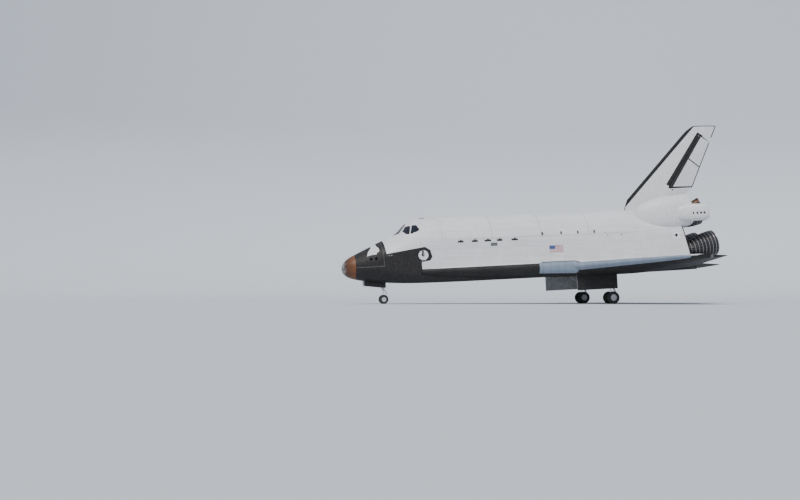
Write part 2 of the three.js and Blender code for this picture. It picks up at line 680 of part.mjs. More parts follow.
// A section square to the elevons' hinge line: a round nose, then the points that close it
function hingeSection(y, radius, noseFront, tail) {
  const [from, to] = noseFront ? [Math.PI / 2, Math.PI * 1.5] : [Math.PI / 2, -Math.PI / 2];
  const nose = Array.from({ length: 7 }, (_, i) => {
    const angle = from + ((to - from) * i) / 6;
    return [radius * Math.cos(angle), radius * Math.sin(angle)];
  });
  return [...nose, ...tail].map(([x, z]) => at(ELEVON_HINGE_X + x, -y + z * HINGE_RISE, hingeZ(y) + z));
}

function elevon(inner, outer) {
  const body = loft([inner, outer].map((y) => {
    const chord = TRAILING_X - TRAILING_SWEEP * y - ELEVON_HINGE_X;
    return hingeSection(y, hingeHalf(y) - 10, true, [[chord, -15], [chord, 15]]);
  }));
  const reach = ELEVON_PIN.length + 5;
  return body
    .subtract(bore(hingePoint(inner - reach), hingePoint(inner + reach), ELEVON_PIN.radius))
    .subtract(bore(hingePoint(outer - reach), hingePoint(outer + reach), ELEVON_PIN.radius));
}

// A fixed rib of the wing beside an elevon's end, with the hinge pins that stick out of it
function elevonRib([inner, outer], index) {
  const body = loft([inner, outer].map((y) => {
    const [radius, front] = [hingeHalf(y) - 12, -hingeHalf(y) - 80];
    return hingeSection(y, radius, false, [[front, -radius], [front, radius]]);
  }));
  const [first, last] = [index === 0, index === ELEVON_RIBS.length - 1];
  const from = first ? inner + 20 : inner - ELEVON_PIN.length;
  const to = last ? outer - 20 : outer + ELEVON_PIN.length;
  return body.add(pin(hingePoint(from), hingePoint(to), ELEVON_PIN.radius));
}

function bodyFlap() {
  const nose = Array.from({ length: 9 }, (_, i) => {
    const angle = Math.PI / 2 + (Math.PI * i) / 8;
    return [FLAP_HINGE.x + FLAP_RADIUS * Math.cos(angle), FLAP_HINGE.z + FLAP_RADIUS * Math.sin(angle)];
  });
  const trail = [[FLAP_END_X, FLAP_HINGE.z - 30], [FLAP_END_X, FLAP_HINGE.z + 30]];
  let body = outline([...nose, ...trail], "y", -FLAP_HALF_WIDTH, FLAP_HALF_WIDTH);
  const { x, z } = FLAP_HINGE;
  const { width, gap, slotBack, pinLength } = FLAP_LUGS;
  for (const y of [-FLAP_LUGS.y, FLAP_LUGS.y]) {
    const slot = width / 2 + gap;
    const reach = width / 2 + pinLength + 5;
    body = body
      .subtract(block(x - 400, x + slotBack, y - slot, y + slot, z - 400, z + 400))
      .subtract(bore(at(x, y - reach, z), at(x, y + reach, z), FLAP_LUGS.pin));
  }
  return body;
}

// Vertical fin and its split rudder

const finShare = (z) => (z - FIN_ROOT_Z) / FIN_HEIGHT;
const finLead = (z) => FIN_ROOT_X + (z - FIN_ROOT_Z);
const finChord = (z) => FIN_ROOT_CHORD + (FIN_TIP_CHORD - FIN_ROOT_CHORD) * finShare(z);
const finHinge = (z) => at(finLead(z) + FIN_PEAK * finChord(z), 0, z);
const finHalf = (z) => FIN_HALF_THICK * finChord(z);

const finSweep = Math.atan(finHinge(1).x - finHinge(0).x);

function finWedge(share = 1) {
  return loft([FIN_ROOT_Z - 200, FIN_ROOT_Z + FIN_HEIGHT + 50].map((z) => {
    const [lead, peak, trail] = [finLead(z), finHinge(z).x, finLead(z) + finChord(z)];
    const half = finHalf(z) * share;
    return [
      at(lead - 20, 45, z), at(peak, half, z), at(trail, 15, z),
      at(trail, -15, z), at(peak, -half, z), at(lead - 20, -45, z),
    ];
  }));
}

// The side view of what the rudder fills: level below, square to its hinge line above
function aftOfHinge(low, high) {
  const [foot, head] = [finHinge(low), finHinge(high)];
  const reach = 4000;
  return outline([
    [foot.x, low], [foot.x + reach, low],
    [head.x + reach * Math.cos(finSweep), high - reach * Math.sin(finSweep)], [head.x, high],
  ], "y", -1500, 1500);
}

function hingeCone(low, high, share, steps = 24, extra = 0) {
  const radius = (z) => finHalf(z) * share + extra;
  return bar(finHinge(low), finHinge(high), radius(low), radius(high), steps);
}

const COVE_LOW = RUDDER_LOW_Z - 30;
const COVE_HIGH = RUDDER_HIGH_Z + 30;

function verticalFin() {
  return finWedge()
    .intersect(outline(FIN_OUTLINE, "y", -1500, 1500))
    .subtract(aftOfHinge(RUDDER_LOW_Z, RUDDER_HIGH_Z))
    .subtract(hingeCone(COVE_LOW, COVE_HIGH, COVE_SHARE));
}

function rudderShaft() {
  return hingeCone(COVE_LOW + SEAT_GAP, COVE_HIGH - SEAT_GAP, SHAFT_SHARE, SHAFT_STEPS);
}

// One of the two panels: a wedge behind the hinge, and a sector of a cone that turns in the cove
function rudderPanel() {
  const [low, high] = [RUDDER_LOW_Z + RUDDER_END_GAP, RUDDER_HIGH_Z - RUDDER_END_GAP];
  const side = block(20000, 40000, -2000, -SPLIT_GAP / 2, 2000, 12000);
  const wedge = finWedge(PANEL_SHARE).intersect(aftOfHinge(low, high)).intersect(side);
  const sector = outline([[30, 0], [30, -900], [-900 * Math.tan(NOSE_SECTOR), -900], [0, 0]], "z", 0, 8000);
  const foot = finHinge(low);
  const upright = new THREE.Matrix4().makeRotationY(finSweep).setPosition(foot.x, 0, foot.z);
  const nose = hingeCone(low, high, PANEL_SHARE).intersect(moved(sector, upright)).intersect(side);
  const fit = 1 / Math.cos(Math.PI / SHAFT_STEPS);
  return wedge
    .add(nose)
    .subtract(hingeCone(low - 300, high + 300, SHAFT_SHARE * fit, SHAFT_STEPS, PIN_GAP * fit));
}

// Landing gear

function tyre(radius, width) {
  const [half, rim] = [width / 2, radius * 0.5];
  return spun([
    [-half * 0.8, rim], [-half, radius * 0.72], [-half * 0.9, radius * 0.9], [-half * 0.45, radius],
    [half * 0.45, radius], [half * 0.9, radius * 0.9], [half, radius * 0.72], [half * 0.8, rim],
    [-half * 0.8, rim],
  ], TYRE_STEPS).rotateZ(Math.PI / 2);
}

// Two rims on one axle, turning together
function wheelPair(radius, width, spread, axleRadius) {
  const rim = radius * 0.5 - SEAT_GAP;
  const profile = (centre) => [
    [centre - width * 0.42, 0], [centre - width * 0.42, rim], [centre + width * 0.42, rim], [centre + width * 0.42, 0],
  ];
  const wheels = [-spread, spread].map((centre) => solid(spun(profile(centre), TYRE_STEPS)));
  const axle = pin(at(-spread, 0, 0), at(spread, 0, 0), axleRadius, TYRE_STEPS);
  return geometryOf(joined(...wheels, axle)).rotateZ(Math.PI / 2);
}

const groundRise = Math.sin(PARKED_PITCH);
const groundDrop = Math.cos(PARKED_PITCH);
const heightAbove = (p) => p.z * groundDrop + p.x * groundRise;
const NOSE_AXLE = at(
  NOSE_LEG_X, 0,
  (heightAbove(MAIN_AXLE) - MAIN_TYRE_RADIUS + NOSE_TYRE_RADIUS - NOSE_LEG_X * groundRise) / groundDrop);

const MAIN_LEG = { radius: 150, piston: 105, pistonTop: -4450, trunnionZ: -2520, knuckle: 150, axle: 50 };
const MAIN_BRACE = { reach: 1900, z: -2420, spread: 90, radius: 70, cross: 80 }; // two struts to a cross bar ahead
const NOSE_LEG = { radius: 95, piston: 70, collarZ: -3560, trunnionZ: -2250, knuckle: 110, axle: 45 };

function mainLeg() {
  const { x, y, z } = MAIN_AXLE;
  const knuckle = bar(at(x, -y - 150, z), at(x, -y + 150, z), MAIN_LEG.knuckle);
  const [inner, outer] = [-MAIN_WELL.y0 - SEAT_GAP, -MAIN_WELL.y1 + SEAT_GAP];
  const ahead = x - MAIN_BRACE.reach;
  const braces = [-MAIN_BRACE.spread, MAIN_BRACE.spread].map((side) => bar(
    at(x, -y + side, MAIN_LEG.pistonTop + 120), at(ahead, -y + side, MAIN_BRACE.z), MAIN_BRACE.radius));
  return joined(
    bar(at(x, -y, MAIN_LEG.pistonTop), at(x, -y, -2400), MAIN_LEG.radius),
    bar(at(x, -y, z), at(x, -y, MAIN_LEG.pistonTop + 50), MAIN_LEG.piston),
    bar(at(x, outer, MAIN_LEG.trunnionZ), at(x, inner, MAIN_LEG.trunnionZ), 110),
    ...braces,
    bar(at(ahead, outer, MAIN_BRACE.z), at(ahead, inner, MAIN_BRACE.z), MAIN_BRACE.cross),
    outline([[x + 120, -4380], [x + 180, -4300], [x + 470, -4790], [x + 410, -4830]], "y", -y - 90, -y + 90),
    outline([[x + 410, -4790], [x + 470, -4830], [x + 150, z - 20], [x + 90, z + 60]], "y", -y - 90, -y + 90),
    knuckle,
  ).subtract(bore(at(x, -y - 200, z), at(x, -y + 200, z), MAIN_LEG.axle, TYRE_STEPS));
}

function noseLeg() {
  const x = NOSE_LEG_X;
  const reach = NOSE_WELL.halfWidth - SEAT_GAP;
  return joined(
    bar(at(x, 0, NOSE_LEG.collarZ), at(x, 0, -2100), NOSE_LEG.radius),
    bar(at(x, -reach, NOSE_LEG.trunnionZ), at(x, reach, NOSE_LEG.trunnionZ), 70),
    bar(at(x, -60, -3300), at(x - 1050, -200, -2180), 40),
    bar(at(x, 60, -3300), at(x - 1050, 200, -2180), 40),
    bar(at(x - 1050, -reach, -2180), at(x - 1050, reach, -2180), 50),
  );
}

function noseFork() {
  const { x, z } = NOSE_AXLE;
  const knuckle = bar(at(x, -105, z), at(x, 105, z), NOSE_LEG.knuckle);
  const top = NOSE_LEG.collarZ - SEAT_GAP;
  return joined(
    bar(at(x, 0, top - 90), at(x, 0, top), 120),
    bar(at(x, 0, z), at(x, 0, top - 50), NOSE_LEG.piston),
    outline([[x + 90, top - 80], [x + 150, top - 20], [x + 330, -3930], [x + 280, -3960]], "y", -50, 50),
    outline([[x + 280, -3930], [x + 330, -3960], [x + 90, z - 10], [x + 60, z + 40]], "y", -50, 50),
    knuckle,
  ).subtract(bore(at(x, -200, z), at(x, 200, z), NOSE_LEG.axle, TYRE_STEPS));
}

function mainDoor(wing) {
  const panel = outline([[20440, -4560], [24240, -4560], [24240, -2900], [20440, -2900]], "y", -4170, -4112);
  return panel.subtract(wing).subtract(wing.translate([0, 0, -SEAT_GAP]));
}

function noseDoor(fuselage) {
  const panel = outline([[1915, -3200], [3855, -3460], [3855, -2700], [1915, -2500]], "y", -530, -482);
  return panel.subtract(fuselage).subtract(fuselage.translate([0, 0, -SEAT_GAP]));
}

function placeWheels(prefix, axle, radius, width, spread, axleRadius) {
  const wheels = new THREE.Group();
  wheels.position.copy(axle);
  vehicle.add(wheels);
  addPiece(`${prefix}_wheels`, wheelPair(radius, width, spread, axleRadius), "steel", wheels);
  for (const [side, y] of [["left", -spread], ["right", spread]])
    addPiece(`${prefix}_tyre_${side}`, tyre(radius, width), "tyre", wheels).position.y = y;
}

// Assembly

const skinOutside = hull(CAP_END, 32900, -SEAT_GAP);
const underHull = block(BAY_FRONT, 40000, -CROWN_RADIUS - SEAT_GAP, 0, -5000, 0);
const underAftHull = hull(BAY_BACK - 100, 32900, -SEAT_GAP).translate([0, 0, -80]);
const portWingSolid = portWing().subtract(skinOutside).subtract(underHull).subtract(underAftHull);
const coveSpan = [HINGE_Y - 300, TIP_Y + 300];
const elevonCove = bar(
  hingePoint(coveSpan[0]), hingePoint(coveSpan[1]),
  hingeHalf(coveSpan[0]) + RUNNING_GAP - 10, hingeHalf(coveSpan[1]) + RUNNING_GAP - 10, 24);
const elevonRibs = joined(...ELEVON_RIBS.map(elevonRib)).subtract(skinOutside);
const mainWell = block(MAIN_WELL.x0, MAIN_WELL.x1, -MAIN_WELL.y1, -MAIN_WELL.y0, -3800, MAIN_WELL.top);
const wingPlate = portWingSolid.subtract(elevonCove).add(elevonRibs).subtract(mainWell);
const fin = verticalFin().subtract(skinOutside);
const pod = enginePod()
  .subtract(skinOutside)
  .subtract(fin)
  .subtract(fin.translate([0, -SEAT_GAP, 0]))
  .subtract(block(25000, 38000, -SEAT_GAP, 4000, 0, 6000));

addPiece("nose_section", noseSection(), "black");
addPiece("forward_fuselage", forwardFuselage(), "white");
addPiece("nose_cap", noseCap(), "cap");
addPiece("windscreen", windscreen(), "glass");
addPiece("flight_deck", flightDeck(), "cabin");
addPiece("cabin_bulkhead", cabinBulkhead(), "white");
addPiece("crew_hatch", crewHatch(), "white");
addPiece("mid_fuselage", midFuselage(), "white");
addPiece("aft_fuselage", aftFuselage(), "white");
addPiece("vertical_fin", fin, "white");
addPiece("rudder_shaft", rudderShaft(), "steel");
addPiece("body_flap", bodyFlap(), "black");

for (const [side, twin] of [["left", (body) => body], ["right", mirrored]]) {
  addPiece(`bay_door_${side}`, twin(bayDoor()), "white");
  addPiece(`wing_${side}`, twin(wingPlate.subtract(edgeRegion(0))), "black");
  addPiece(`leading_edge_${side}`, twin(wingPlate.intersect(edgeRegion(SEAT_GAP))), "edge");
  for (const [place, inner, outer] of ELEVONS)
    addPiece(`elevon_${place}_${side}`, twin(elevon(inner, outer)), "black");
  addPiece(`rudder_${side}`, twin(rudderPanel()), "white");
  addPiece(`engine_pod_${side}`, twin(pod), "white");
  addPiece(`main_gear_leg_${side}`, twin(mainLeg()), "steel");
  addPiece(`main_gear_door_${side}`, twin(mainDoor(portWingSolid)), "white");
  addPiece(`nose_gear_door_${side}`, twin(noseDoor(hull(CAP_END, BAY_FRONT))), "white");
  addPiece(`orbital_nozzle_${side}`, twin(moved(orbitalNozzle(), orbitalMatrix())), "nozzle");
  const axle = at(MAIN_AXLE.x, side === "left" ? -MAIN_AXLE.y : MAIN_AXLE.y, MAIN_AXLE.z);
  placeWheels(`main_${side}`, axle, MAIN_TYRE_RADIUS, MAIN_TYRE_WIDTH, MAIN_WHEEL_SPREAD, MAIN_LEG.axle);
}

for (const engine of ENGINES) {
  const gimbal = new THREE.Group();
  gimbal.applyMatrix4(engineMatrix(engine));
  vehicle.add(gimbal);
  addPiece(engine[0], mainEngine(), "nozzle", gimbal);
}

addPiece("nose_gear_leg", noseLeg(), "steel");
addPiece("nose_gear_fork", noseFork(), "steel");
placeWheels("nose", NOSE_AXLE, NOSE_TYRE_RADIUS, NOSE_TYRE_WIDTH, NOSE_WHEEL_SPREAD, NOSE_LEG.axle);

// Set it down: nose low, its wheels on the ground, the origin under the middle of its outline
vehicle.rotation.y = -PARKED_PITCH;
vehicle.updateMatrixWorld(true);
const extent = new THREE.Box3().setFromObject(vehicle, true);
vehicle.position.set(-(extent.min.x + extent.max.x) / 2, 0, -extent.min.z);

export default vehicle;
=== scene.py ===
import json
import math

import bmesh
import bpy
import numpy as np
from mathutils import Matrix, Vector


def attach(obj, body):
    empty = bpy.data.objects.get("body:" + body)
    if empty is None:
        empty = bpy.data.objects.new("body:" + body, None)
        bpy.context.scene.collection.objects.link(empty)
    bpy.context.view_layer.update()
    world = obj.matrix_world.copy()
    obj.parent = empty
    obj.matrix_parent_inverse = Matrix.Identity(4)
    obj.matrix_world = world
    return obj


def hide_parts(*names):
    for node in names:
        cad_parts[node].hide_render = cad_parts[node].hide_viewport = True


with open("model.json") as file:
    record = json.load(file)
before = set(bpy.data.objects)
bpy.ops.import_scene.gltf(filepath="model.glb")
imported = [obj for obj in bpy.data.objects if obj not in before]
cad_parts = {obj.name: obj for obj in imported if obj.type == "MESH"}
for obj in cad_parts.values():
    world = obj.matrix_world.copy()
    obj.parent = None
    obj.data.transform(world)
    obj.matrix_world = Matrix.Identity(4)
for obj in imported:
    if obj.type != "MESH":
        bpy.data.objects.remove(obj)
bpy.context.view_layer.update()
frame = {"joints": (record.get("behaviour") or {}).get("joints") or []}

# Camera
# It stands where the photograph was taken from, seen round the vehicle, but down at floor level.
# Its height above the floor is a low tripod's, and it looks up a little so the body sits mid frame.
LENS = 40.5  # mm, on a sensor 36 mm wide
CAMERA_TURN = math.radians(-10.29)
CAMERA_RISE = math.radians(2.93)
CAMERA_DISTANCE = 83.5  # from the point of the body that the view is measured to
CAMERA_HEIGHT = 0.7
CAMERA_ASIDE = 12.5  # how far that point is to the right of the picture's middle
VIEWED_X = -0.24  # the cargo bay's middle


def added(name, data):
    """A new object in the scene."""
    made = bpy.data.objects.new(name, data)
    bpy.context.scene.collection.objects.link(made)
    return made


camera = added("camera", bpy.data.cameras.new("camera"))
camera.data.lens = LENS
camera.data.clip_end = 2000
right = Vector((math.cos(CAMERA_TURN), math.sin(CAMERA_TURN), 0))
back = Vector((math.sin(CAMERA_TURN), -math.cos(CAMERA_TURN), 0))
camera.location = Vector((VIEWED_X, 0, CAMERA_HEIGHT)) + back * CAMERA_DISTANCE - right * CAMERA_ASIDE
camera.rotation_euler = (math.pi / 2 + CAMERA_RISE, 0, CAMERA_TURN)
bpy.context.scene.camera = camera

# Studio
# A pale floor that curves up into a far wall, all round, lit from above by soft light.
# The wall lets the light through, so that it only closes the view.
FLOOR_RADIUS = 170
WALL_RADIUS = 60
WALL_HEIGHT = 160
STUDIO_STEPS = 96
BEND_STEPS = 12


def plain_material(name, colour, roughness):
    material = bpy.data.materials.new(name)
    material.use_nodes = True
    shader = material.node_tree.nodes["Principled BSDF"]
    shader.inputs["Base Color"].default_value = (*colour, 1)
    shader.inputs["Roughness"].default_value = roughness
    return material


def turned_surface(name, profile):
    """A surface of revolution about the upright axis, from [radius, height] pairs."""
    turns = [2 * math.pi * i / STUDIO_STEPS for i in range(STUDIO_STEPS)]
    points = [(wide * math.cos(a), wide * math.sin(a), height) for wide, height in profile for a in turns]
    faces = []
    for row in range(len(profile) - 1):
        for i in range(STUDIO_STEPS):
            here, ahead = (row * STUDIO_STEPS + j % STUDIO_STEPS for j in (i, i + 1))
            faces.append((here, ahead, ahead + STUDIO_STEPS, here + STUDIO_STEPS))
    mesh = bpy.data.meshes.new(name)
    mesh.from_pydata(points, [], faces)
    mesh.shade_smooth()
    return added(name, mesh)


bend = [math.pi / 2 * i / BEND_STEPS for i in range(BEND_STEPS + 1)]
bent = [(FLOOR_RADIUS + WALL_RADIUS * math.sin(a), WALL_RADIUS * (1 - math.cos(a))) for a in bend]
floor = turned_surface("floor", [(0.01, 0), (40, 0), (FLOOR_RADIUS, 0)])
wall = turned_surface("wall", bent + [(FLOOR_RADIUS + WALL_RADIUS, WALL_HEIGHT)])
pale = plain_material("studio pale", (0.60, 0.63, 0.68), 0.9)
for stage_piece in (floor, wall):
    stage_piece.data.materials.append(pale)
wall.visible_shadow = False
wall.visible_diffuse = False

world = bpy.data.worlds.new("studio sky")
world.use_nodes = True
background = world.node_tree.nodes["Background"]
background.inputs["Color"].default_value = (0.80, 0.88, 1.0, 1)
background.inputs["Strength"].default_value = 0.6
bpy.context.scene.world = world

for name, direction, strength, softness, colour in [
    ("key light", (-0.35, -0.55, 0.85), 2.9, 18, (1.0, 0.97, 0.93)),
    ("fill light", (0.7, -0.9, 0.25), 0.4, 40, (0.9, 0.95, 1.0)),
]:
    lamp = bpy.data.lights.new(name, "SUN")
    lamp.energy = strength
    lamp.angle = math.radians(softness)
    lamp.color = colour
    added(name, lamp).rotation_euler = Vector(direction).to_track_quat("Z", "Y").to_euler()

# Nose cap
# A moulded cap of reinforced carbon, brown on this vehicle, over the very front of the hull.
# It is one round-nosed shell; the silver patch round its tip is a painted sheen.
TOP_ENGINE = Vector((30.709, 0, 1.150))  # its gimbal, in the vehicle's own frame: x aft, y to starboard
joints = {joint["name"]: joint for joint in frame["joints"]}
own_up = Vector(joints["nose_gear_steer"]["axis"])
level_to_parked = Matrix.Rotation(math.atan2(own_up.x, own_up.z), 4, "Y")
PARKED = Matrix.Translation(
    Vector(joints["engine_top_gimbal"]["pos_m"]) - level_to_parked @ TOP_ENGINE
) @ level_to_parked
HULL = [
    # x, half width, top, widest, bottom, corner width, corner height
    (1.170, 1.160, -0.400, -1.495, -2.590, 1.090, 1.095),
    (1.600, 1.345, -0.195, -1.440, -2.690, 1.260, 1.150),
    (2.057, 1.520, 0.010, -1.380, -2.770, 1.400, 1.180),
    (2.870, 1.790, 0.385, -1.200, -2.870, 1.450, 1.200),
    (3.937, 2.060, 0.872, -0.900, -2.990, 1.400, 1.150),
    (5.029, 2.270, 1.380, -0.600, -3.080, 1.250, 1.050),
    (5.613, 2.370, 1.930, -0.450, -3.115, 1.150, 0.950),
    (6.121, 2.440, 2.370, -0.300, -3.140, 1.050, 0.850),
    (6.500, 2.480, 2.590, -0.200, -3.155, 0.980, 0.800),
    (7.000, 2.530, 2.680, -0.080, -3.170, 0.900, 0.740),
    (8.788, 2.640, 2.718, 0.078, -3.200, 0.680, 0.600),
    (12.500, 2.640, 2.718, 0.078, -3.226, 0.120, 0.120),
    (27.076, 2.640, 2.718, 0.078, -3.226, 0.060, 0.060),
    (29.200, 2.860, 2.718, 0.078, -3.226, 0.060, 0.060),
    (32.900, 2.880, 2.690, 0.078, -3.190, 0.060, 0.060),
]
CAP_END = 1.170
CAP_ROUNDNESS = 2.200
CAP_TIP_Z = -1.600
CAP_TIP_X = 0.0005
CAP_STEPS = 28
SEAT_GAP = 0.0004  # between pieces that sit against each other
CROWN_STEPS = 28
SIDE_STEPS = 8
CORNER_STEPS = 8
BELLY_STEPS = 10


def curves_through(table):
    """Smooth curves through a table's columns, against its first one, that never overshoot a row."""
    rows = np.array(table, float)
    x, y = rows[:, 0], rows[:, 1:]
    slope = np.diff(y, axis=0) / np.diff(x)[:, None]
    same_way = slope[:-1] * slope[1:] > 0
    total = np.where(same_way, slope[:-1] + slope[1:], 1)
    tangent = np.zeros_like(y)
    tangent[0], tangent[-1] = slope[0], slope[-1]
    tangent[1:-1] = np.where(same_way, 2 * slope[:-1] * slope[1:] / total, 0)

    def row_at(value):
        i = int(np.clip(np.searchsorted(x, value) - 1, 0, len(x) - 2))
        width = x[i + 1] - x[i]
        t = min(max((value - x[i]) / width, 0), 1)
        ease = t * t * (3 - 2 * t)
        rise = tangent[i] * (t * (1 - t) ** 2) - tangent[i + 1] * (t * t * (1 - t))
        return y[i] + (y[i + 1] - y[i]) * ease + width * rise

    return row_at


hull_at = curves_through(HULL)


def hull_half(x, inset=0.0):
    """The starboard half of a hull section as [y, z], from the crown down to the belly's centre line."""
    width, top, widest, bottom, corner_width, corner_height = hull_at(x)
    width, top, bottom = width - inset, top - 1.3 * inset, bottom + inset
    corner_width = min(corner_width, width - 0.04)
    half = []
    for i in range(CROWN_STEPS + 1):
        angle = math.pi / 2 * (1 - i / CROWN_STEPS)
        half.append((width * math.cos(angle), widest + (top - widest) * math.sin(angle)))
    side_low = bottom + corner_height
    for i in range(1, SIDE_STEPS):
        half.append((width, widest + (side_low - widest) * i / SIDE_STEPS))
    for i in range(CORNER_STEPS + 1):
        angle = math.pi / 2 * i / CORNER_STEPS
        y = width - corner_width * (1 - math.cos(angle))
        half.append((y, bottom + corner_height * (1 - math.sin(angle))))
    flat = half[-1][0]
    for i in range(1, BELLY_STEPS + 1):
        half.append((flat * (1 - i / BELLY_STEPS), bottom))
    return half


def hull_ring(x, inset=0.0):
    """A whole hull section, from the belly's centre line up to port, over the crown and back down."""
    half = hull_half(x, inset)
    port = [(x, -y, z) for y, z in reversed(half)]
    return port[:-1] + [(x, y, z) for y, z in half]


def skinned(name, rings):
    """A closed body through rings of points, each ending where it starts, with metres in its UV map."""
    grid = np.array(rings, float)
    rows, columns = grid.shape[:2]
    steps = np.linalg.norm(np.diff(grid, axis=1), axis=2)
    girth = np.concatenate([np.zeros((rows, 1)), np.cumsum(steps, axis=1)], axis=1)
    girth -= girth[:, -1:] / 2
    spine = grid.mean(axis=1)
    strides = np.linalg.norm(np.diff(spine, axis=0), axis=1)
    along = np.concatenate([[0], np.cumsum(strides)]) + grid[0, :, 0].mean()
    bm = bmesh.new()
    uv = bm.loops.layers.uv.new("UVMap")
    points = [[bm.verts.new(point) for point in row] for row in grid]
    for i in range(rows - 1):
        for j in range(columns - 1):
            corners = [(i, j), (i, j + 1), (i + 1, j + 1), (i + 1, j)]
            face = bm.faces.new([points[a][b] for a, b in corners])
            for loop, (a, b) in zip(face.loops, corners):
                loop[uv].uv = (along[a], girth[a][b])
    bm.faces.new(points[0][:-1])
    bm.faces.new(list(reversed(points[-1][:-1])))
    bmesh.ops.remove_doubles(bm, verts=bm.verts, dist=1e-5)
    bmesh.ops.dissolve_degenerate(bm, dist=1e-6, edges=bm.edges)
    bmesh.ops.recalc_face_normals(bm, faces=bm.faces)
    return from_bmesh(name, bm)


def from_bmesh(name, bm):
    mesh = bpy.data.meshes.new(name)
    bm.to_mesh(mesh)
    bm.free()
    return added(name, mesh)


def settle(piece):
    """Turns what a piece's modifiers give into its plain mesh."""
    bpy.context.view_layer.update()
    mesh = bpy.data.meshes.new_from_object(piece.evaluated_get(bpy.context.evaluated_depsgraph_get()))
    piece.modifiers.clear()
    piece.data = mesh
    return piece


def place(piece, body, *nodes, slot=None, sharp=35):
    """Sets a finished piece down as the vehicle is parked, on a body, for the CAD nodes it stands for."""
    piece.data.transform(PARKED)
    piece.data.shade_smooth()
    piece.data.set_sharp_from_angle(angle=math.radians(sharp))
    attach(piece, body)
    if nodes:
        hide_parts(*nodes)
    return piece


class Finish:
    """A material being put together node by node, each call adding one and linking what it reads."""

    def __init__(self, name, roughness, metallic=0.0, **sockets):
        self.material = bpy.data.materials.new(name)
        self.material.use_nodes = True
        self.nodes = self.material.node_tree.nodes
        self.links = self.material.node_tree.links
        self.shader = self.nodes["Principled BSDF"]
        for socket, value in {"Roughness": roughness, "Metallic": metallic, **sockets}.items():
            self.shader.inputs[socket.replace("_", " ")].default_value = value

    def add(self, kind, reads, gives=0, **settings):
        node = self.nodes.new(kind)
        for key, value in settings.items():
            setattr(node, key, value)
        for socket, value in reads.items():
            into = node.inputs[socket]
            if isinstance(value, bpy.types.NodeSocket):
                self.links.new(value, into)
            else:
                into.default_value = (*value, 1) if into.type == "RGBA" else value
        return node.outputs[gives]

    def place(self, turn=(0, 0, 0), scale=(1, 1, 1), where="Object", shift=(0, 0, 0)):
        coordinates = self.add("ShaderNodeTexCoord", {}, where)
        laid = {"Vector": coordinates, "Location": shift, "Rotation": turn, "Scale": scale}
        return self.add("ShaderNodeMapping", laid)

    def noise(self, vector, scale, detail=4.0):
        reads = {"Vector": vector, "Scale": scale, "Detail": detail, "Roughness": 0.55}
        return self.add("ShaderNodeTexNoise", reads)

    def ramp(self, value, low, high, first=(0, 0, 0), last=(1, 1, 1)):
        """A colour or value that goes from first to last as value goes from low to high."""
        node = self.add("ShaderNodeValToRGB", {"Fac": value}).node
        for end, position, colour in zip(node.color_ramp.elements, (low, high), (first, last)):
            end.position, end.color = position, (*colour, 1)
        return node.outputs["Color"]

    def mix(self, amount, first, last):
        return self.add("ShaderNodeMix", {0: amount, 6: first, 7: last}, 2, data_type="RGBA")

    def math(self, how, first, second):
        return self.add("ShaderNodeMath", {0: first, 1: second}, operation=how)

    def cloud(self, vector, scale, detail, low, high, *ends):
        """Noise, spread from black to white or from one colour to another."""
        return self.ramp(self.noise(vector, scale, detail), low, high, *ends)

    def stain(self, spots, share, first, last):
        """The first colour, with a share of the last one in it where the spots are."""
        return self.mix(self.math("MULTIPLY", spots, share), first, last)

    def bricks(self, vector, width, height, gap, offset=0.0):
        """Courses of blocks with a gap between them, and whether a point lies in a gap."""
        shade = self.add("ShaderNodeTexBrick", {
            "Vector": vector, "Scale": 1, "Bias": 0, "Brick Width": width, "Row Height": height,
            "Mortar Size": gap, "Mortar Smooth": 0.1,
            "Color1": (0, 0, 0), "Color2": (1, 1, 1), "Mortar": (0.5, 0.5, 0.5),
        }, offset=offset)
        return shade, shade.node.outputs["Fac"]

    def bump(self, height, depth, strength):
        bump = self.add("ShaderNodeBump", {"Height": height, "Distance": depth, "Strength": strength})
        self.links.new(bump, self.shader.inputs["Normal"])

    def sunk(self, gaps, depth, strength):
        """Lets the gaps lie lower than the rest."""
        self.bump(self.math("SUBTRACT", 1.0, gaps), depth, strength)

    def colour(self, value):
        self.links.new(value, self.shader.inputs["Base Color"])

    def rough(self, spots, first, last, high=0.7):
        """A roughness that goes from first to last with the spots."""
        spread = self.ramp(spots, 0.3, high, (first,) * 3, (min(last, 1),) * 3)
        self.links.new(spread, self.shader.inputs["Roughness"])


def carbon_with_painted_sheen():
    """Brown carbon, orange towards its rim, with a silver patch of painted sheen round its tip and streaks
    that run back.
    """
    look = Finish("burnt carbon", 0.42, Specular_IOR_Level=0.45)
    where = look.place()
    # Painted sheen: a silver patch round the tip, its edge broken by streaks, stands in for light shining off
    # the cap.
    tip = PARKED @ Vector((0, 0, CAP_TIP_Z))
    apart = look.add("ShaderNodeVectorMath", {0: where, 1: tuple(tip)}, 1, operation="DISTANCE")
    streaks = look.noise(look.place(scale=(0.5, 3.0, 3.0)), 1.7, 7.0)
    edge = look.math("SUBTRACT", apart, look.math("MULTIPLY", streaks, 1.1))
    sheen_share = look.ramp(edge, 0.02, 0.30, (1, 1, 1), (0, 0, 0))
    back = look.math("MULTIPLY", apart, 0.5)
    brown = look.ramp(back, 0.30, 0.85, (0.060, 0.024, 0.014), (0.175, 0.064, 0.019))
    lines = look.cloud(look.place(scale=(0.7, 4.0, 4.0)), 2.6, 6.0, 0.52, 0.66)
    brown = look.stain(lines, 0.55, brown, (0.030, 0.014, 0.010))
    sheen_streak_place = look.place(scale=(0.6, 3.0, 3.0))
    silver = look.cloud(sheen_streak_place, 1.6, 2.0, 0.36, 0.68, (0.10, 0.09, 0.085), (0.33, 0.32, 0.31))
    look.colour(look.mix(sheen_share, brown, silver))
    look.rough(look.noise(where, 14.0), 0.36, 0.56)
    look.bump(look.noise(where, 40.0, 6.0), 0.004, 0.25)
    return look.material


